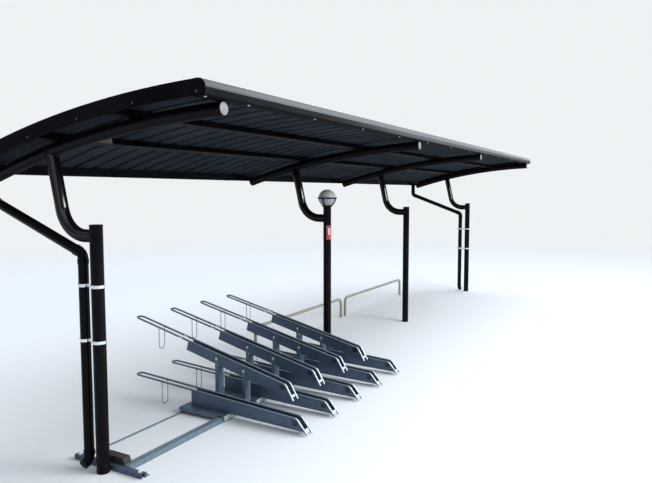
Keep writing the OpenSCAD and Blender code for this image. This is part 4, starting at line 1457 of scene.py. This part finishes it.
@dataclass
class LampAndPlates:
    """Smooth globe and hood, the guard's screws, and the plates' small parts."""

    post_r: float = 0.03815
    globe_r: float = 0.088
    hood_r: float = 0.091
    hood_h: float = 0.078
    brim: Point = (0.007, 0.004)
    guard: Point = (0.003, 0.011)
    guard_turn: float = 1.0
    collar_screw_z: float = 0.016
    sign_t: float = 0.0015
    sign_wrap: float = 150.0
    rivet_in: float = 8.0
    panel_step: float = 5.0
    panels: tuple[tuple[float, ...], ...] = ((22.0, 42.0, 0.34, 0.82), (48.0, 22.0, 0.11, 0.19))
    label_y: float = 0.273

    def build(self) -> None:
        """Makes the lamp's shells and the plates' details."""
        self.globe()
        self.hood()
        self.lamp_screws()
        self.sign()
        self.label_screws()

    def centre(self) -> Vector:
        """Returns the globe's centre."""
        low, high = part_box("lamp_globe")
        return Vector(((low.x + high.x) / 2, (low.y + high.y) / 2, high.z + SEAT))

    def globe(self) -> None:
        """Makes the opal lower half of the globe, smooth and closed."""
        low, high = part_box("lamp_globe")
        centre = self.centre()
        foot = math.asin((low.z - centre.z) / self.globe_r)
        top = math.asin((high.z - centre.z) / self.globe_r)
        steps = 20
        arc = [foot + (top - foot) * i / steps for i in range(steps + 1)]
        profile = [(self.globe_r * math.cos(a), self.globe_r * math.sin(a)) for a in arc]
        closed = [(0, profile[0][1]), *profile, (0, profile[-1][1])]
        work = Workpiece()
        work.turned(shift(*centre), closed, 64)
        piece = work.finish("opal_globe_shell", ROOT_BODY, GLOBE, crease=50)
        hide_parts("lamp_globe")

    def hood(self) -> None:
        """Makes the domed hood with its flat brim."""
        low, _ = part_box("lamp_hood")
        centre = self.centre()
        brim_w, brim_t = self.brim
        crown_r = ((self.hood_r - brim_w) ** 2 + self.hood_h ** 2) / (2 * self.hood_h)
        drop = self.hood_h - crown_r
        thick, edge, steps = 0.003, 0.0008, 18

        def dome(radius: float, foot_z: float) -> list[Point]:
            """Returns the dome's line from a height up to its top.

            Args:
                radius: The dome's radius.
                foot_z: The height at which the line starts.

            Returns:
                Points of radius and height.
            """
            foot = math.asin((foot_z - drop) / radius)
            line = [foot + (math.pi / 2 - foot) * i / steps for i in range(steps)]
            return [*((radius * math.cos(a), drop + radius * math.sin(a)) for a in line),
                    (0.0, drop + radius)]

        rim = [(self.hood_r - edge, 0.0), (self.hood_r, edge), (self.hood_r, brim_t - edge),
               (self.hood_r - edge, brim_t)]
        work = Workpiece()
        work.turned(shift(centre.x, centre.y, low.z),
                    [*reversed(dome(crown_r - thick, 0.0)), *rim, *dome(crown_r, brim_t)], 64)
        piece = work.finish("white_hood_shell", ROOT_BODY, HOOD, crease=50)
        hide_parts("lamp_hood")

    def lamp_screws(self) -> None:
        """Makes the screws of the guard's straps and of the collar."""
        collar_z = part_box("lamp_base")[0].z + self.collar_screw_z
        centre = self.centre()
        ring_t, ring_h = self.guard
        ring_r = self.hood_r + ring_t + SEAT
        work = Workpiece()
        for degrees in (self.guard_turn + 90 * i for i in range(4)):
            turn = turned_by(degrees, "Z")
            outward = turn @ turned_by(90, "Y")
            ring = centre + turn @ Vector((ring_r, 0, -ring_h / 2))
            collar = Vector((centre.x, centre.y, collar_z)) + turn @ Vector((self.post_r, 0, 0))
            for spot in (ring, collar):
                work.stamp(PLATE_SCREW.mesh(), [shift(*spot) @ outward])
        work.finish("lamp_screws", ROOT_BODY, DARK_SCREW)

    def sign(self) -> None:
        """Makes the sign's plain pale panels and its rivets."""
        low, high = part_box("sign_plate")
        x, height = (low.x + high.x) / 2, high.z - low.z
        face = self.post_r + SEAT + self.sign_t
        start = -90 - self.sign_wrap / 2
        axis = shift(x, 0, 0)
        panel, rivets = Workpiece(), Workpiece()
        inner, outer, margin = face - 0.0002, face + 0.0005, 0.013
        for turn, wide, z0, z1 in self.panels:
            bottom, top = low.z + height * z0, low.z + height * z1
            place = axis @ turned_by(start + turn, "Z")
            panel.turned(place, [(inner, bottom), (outer, bottom), (outer, top), (inner, top)],
                         int(wide / self.panel_step), ring=True, angle=math.radians(wide))
        for degrees in (start + self.rivet_in, start + self.sign_wrap - self.rivet_in):
            turn = turned_by(degrees, "Z")
            for z in (low.z + margin, high.z - margin):
                place = Matrix.Translation(Vector((x, 0, z)) + turn @ Vector((face, 0, 0)))
                outward = turn @ turned_by(90, "Y")
                rivets.stamp(PLATE_SCREW.mesh(), [place @ outward])
        panel.finish("sign_panel", ROOT_BODY, WHITE)
        rivets.finish("sign_rivets", ROOT_BODY, SCREW)

    def label_screws(self) -> None:
        """Makes the two screws of the plate on the middle purlin."""
        low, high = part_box("label_plate")
        middle = (low + high) / 2
        tilt = Matrix.Rotation(-CURVE.tilt(self.label_y, CURVE.radius), 4, "X")
        inset, lift = 0.012, 0.001
        face = tilt @ at(0, -lift, 0, Facing.FRONT)
        work = Workpiece()
        for x in (low.x + inset, high.x - inset):
            spot = shift(x, middle.y, middle.z)
            work.stamp(PLATE_SCREW.mesh(), [spot @ face])
        work.finish("label_screws", ROOT_BODY, SCREW)


class Level(Enum):
    """The rack's two levels."""

    LOW = "low"
    HIGH = "high"


@dataclass
class Slider:
    """Small parts of one sliding wheel channel and its carriage."""

    level: Level
    number: int
    nose_y: float = 0.696
    nose_z: float = 0.110
    slope: float = 3.6
    bend: float = 46.0
    loop_y: float = 0.520
    rod_r: float = 0.008
    rod_gap: float = 0.062
    wall_x: float = 0.032
    plug_r: float = 0.025
    plug_at: Point = (-0.006, -0.027)
    leg_ys: tuple[float, float] = (0.138, -0.120)
    leg_t: float = 0.003
    leg_top: float = 0.026
    carriage_z: float = 0.046
    foot_ys: tuple[float, float] = (-0.09, 0.18)
    lip: Point = (0.034, 0.0012)
    sheet_t: float = 0.002
    skirt_bolt_ins: Point = (0.024, 0.018)
    skirt_bolt_drop: float = 0.0125
    bend_screw: Point = (-0.034, -0.011)
    leg_bolt_ins: Point = (0.014, 0.022)
    sleeve_y: float = 0.975
    sleeve_l: float = 0.045
    sleeve_t: float = 0.0014

    @property
    def body(self) -> str:
        """Name of the body that carries this slider."""
        return f"{self.level.value}_slider_{self.number}"

    @property
    def x(self) -> float:
        """The channel's middle along the row."""
        low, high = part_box(f"{self.level.value}_channel_{self.number}")
        return (low.x + high.x) / 2

    def carriage(self) -> tuple[Vector, Vector]:
        """Returns the carriage's box."""
        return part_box(f"{self.level.value}_carriage_{self.number}")

    def place(self) -> Matrix:
        """Returns the place of the bend's start, with local Y up the slope."""
        slope = turned_by(self.slope, "X")
        return shift(self.x, -self.nose_y, self.nose_z) @ slope

    def rod_height(self, y: float) -> float:
        """Returns the height of the rods' middle at a depth."""
        return self.nose_z + (y + self.nose_y) * math.tan(math.radians(self.slope))

    def build(self) -> None:
        """Makes the slider's small parts."""
        name = f"{self.level.value}_{self.number}"
        self.plugs().finish(f"{name}_plugs", self.body, BLACK_PLUG)
        self.bolts().finish(f"{name}_bolts", self.body, SCREW)
        self.welds().finish(f"{name}_welds", self.body, ZINC, crease=60)
        self.lit_front_strip().finish(f"{name}_lip", self.body, ZINC_LIT_FRONT)
        if self.level is Level.HIGH:
            self.sleeves().finish(f"{name}_sleeves", self.body, BRIGHT)

    def plugs(self) -> Workpiece:
        """Returns the black plugs on both walls at the bend.

        Returns:
            The unfinished piece.
        """
        work = Workpiece()
        r = self.plug_r
        profile = [(0, -0.001), (r, -0.001), (r, 0.0018), (r - 0.0012, 0.0032), (r - 0.005, 0.0036),
                   (r - 0.007, 0.0028), (0, 0.0028)]
        for side, facing in ((-1, Facing.LEFT), (1, Facing.RIGHT)):
            spot = self.place() @ Vector((side * self.wall_x, *self.plug_at))
            work.turned(at(*spot, facing), profile, 28)
        return work

    def bolts(self) -> Workpiece:
        """Returns the bolts of legs and carriage.

        Returns:
            The unfinished piece.
        """
        work = Workpiece()
        low, high = self.carriage()
        front, z = low.y - self.lip[1] - SEAT, self.carriage_z - self.skirt_bolt_drop
        near_in, far_in = self.skirt_bolt_ins
        for x in (low.x + near_in, high.x - far_in):
            work.stamp(SMALL_BOLT.mesh(), [at(x, front, z, Facing.FRONT),
                                           at(x, high.y, z, Facing.REAR)])
        bend = self.place() @ turned_by(self.bend, "X")
        for side, facing in ((-1, Facing.RIGHT), (1, Facing.LEFT)):
            inside = bend @ Vector((side * (self.wall_x - self.sheet_t), *self.bend_screw))
            work.stamp(PLATE_SCREW.mesh(), [at(*inside, facing)])
        if self.level is Level.LOW:
            for y in self.foot_ys:
                work.stamp(SMALL_BOLT.mesh(), [at(self.x, y, self.carriage_z + self.sheet_t)])
            return work
        wall = self.wall_x + self.leg_t
        top_in, foot_in = self.leg_bolt_ins
        for y in self.leg_ys:
            leg_zs = (self.rod_height(y) - self.leg_top - top_in, self.carriage_z + foot_in)
            for side, facing in ((-1, Facing.LEFT), (1, Facing.RIGHT)):
                work.stamp(LEG_BOLT.mesh(), [at(self.x + side * wall, y, leg_z, facing)
                                             for leg_z in leg_zs])
        return work

    def welds(self) -> Workpiece:
        """Returns the weld beads round the wire loop's ends.

        Returns:
            The unfinished piece.
        """
        work = Workpiece()
        ring_r, bead_r = 0.0042, 0.0016
        z = self.rod_height(self.loop_y) - self.rod_r + 0.0006
        for side in (-1, 1):
            x = self.x + side * self.rod_gap / 2
            ring = [Vector((x + ring_r * math.cos(t), self.loop_y + ring_r * math.sin(t), z))
                    for t in full_turn(16)]
            work.bead(ring, bead_r, sides=1)
        return work

    def lit_front_strip(self) -> Workpiece:
        """Returns the light strip on the carriage's front skirt: painted light on its front face.

        Returns:
            The unfinished piece.
        """
        work = Workpiece()
        low, high = self.carriage()
        tall, thick = self.lip
        work.block(at((low.x + high.x) / 2, low.y - thick / 2 - SEAT,
                      self.carriage_z - tall / 2 - 0.001),
                   (high.x - low.x - 0.024, thick, tall), 0.0004)
        return work

    def sleeves(self) -> Workpiece:
        """Returns the bright sleeves on the rods, just behind a high channel's trough.

        Returns:
            The unfinished piece.
        """
        work = Workpiece()
        along = turned_by(-90, "X")
        for side in (-1, 1):
            foot = shift(side * self.rod_gap / 2, self.sleeve_y, 0) @ along
            work.rod(self.place() @ foot, self.rod_r + self.sleeve_t, self.sleeve_l, 20, 0.001)
        return work


@dataclass
class RackBase:
    """Bolts and nuts of the floor rails, the cross bars and the stop block."""

    bar_front: float = -0.27
    bar_rear: float = 0.30
    bar_w: float = 0.033
    nut_inset: float = 0.03
    stop_bolt_in: float = 0.035
    stop_bolt_z: float = 0.042
    lug: tuple[float, float, float] = (0.032, 0.005, 0.02)

    def build(self) -> None:
        """Makes the fixings on the floor."""
        low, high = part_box("rail_end_bars")
        nuts, lugs = Workpiece(), Workpiece()
        for x in (low.x + self.bar_w / 2, high.x - self.bar_w / 2):
            for y in (self.bar_front + self.nut_inset, self.bar_rear - self.nut_inset):
                nuts.stamp(STUD_NUT.mesh(), [at(x, y, high.z)])
        block_low, block_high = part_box("end_stop")
        for y in (block_low.y + self.stop_bolt_in, block_high.y - self.stop_bolt_in):
            nuts.stamp(LEG_BOLT.mesh(), [at(block_high.x, y, self.stop_bolt_z, Facing.RIGHT)])
        nuts.finish("rack_base_nuts", ROOT_BODY, SCREW)
        wide, thick, tall = self.lug
        web_t, lift, nut_in = 0.003, 0.0005, 0.018
        y = self.bar_front + wide / 2
        for x, side in ((low.x + self.bar_w, 1), (high.x - self.bar_w, -1)):
            lugs.block(at(x + side * wide / 2, y, lift + thick / 2), (wide, wide, thick), 0.0008)
            lugs.block(at(x + side * (web_t / 2 + SEAT), y, 2 * lift + tall / 2),
                       (web_t, wide, tall), 0.0006)
            lugs.stamp(STUD_NUT.mesh(), [at(x + side * nut_in, y, lift + thick)])
        lugs.finish("rack_base_lugs", ROOT_BODY, ZINC_FLOOR)


def main() -> None:
    """Builds the studio and every sub-assembly in order."""
    logging.basicConfig(level=logging.INFO, format="%(name)s: %(message)s")
    Studio().build()
    dress_nodes()
    posts = tuple(sum(c.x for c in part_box(f"post_{i}")) / 2 for i in range(1, 5))
    RoofTrim(posts=posts).build()
    Framework(posts=posts).build()
    RainPipe(post_x=posts[0], index=1).build()
    RainPipe(post_x=posts[3], index=4, band_drop=0.067).build()
    LampAndPlates().build()
    for number in range(1, 6):
        Slider(Level.LOW, number).build()
    for number in range(1, 5):
        Slider(Level.HIGH, number, nose_y=0.478, nose_z=0.263, slope=13.4, loop_y=0.735,
               plug_at=(0.004, -0.022)).build()
    RackBase().build()


if __name__ == "__main__":
    main()
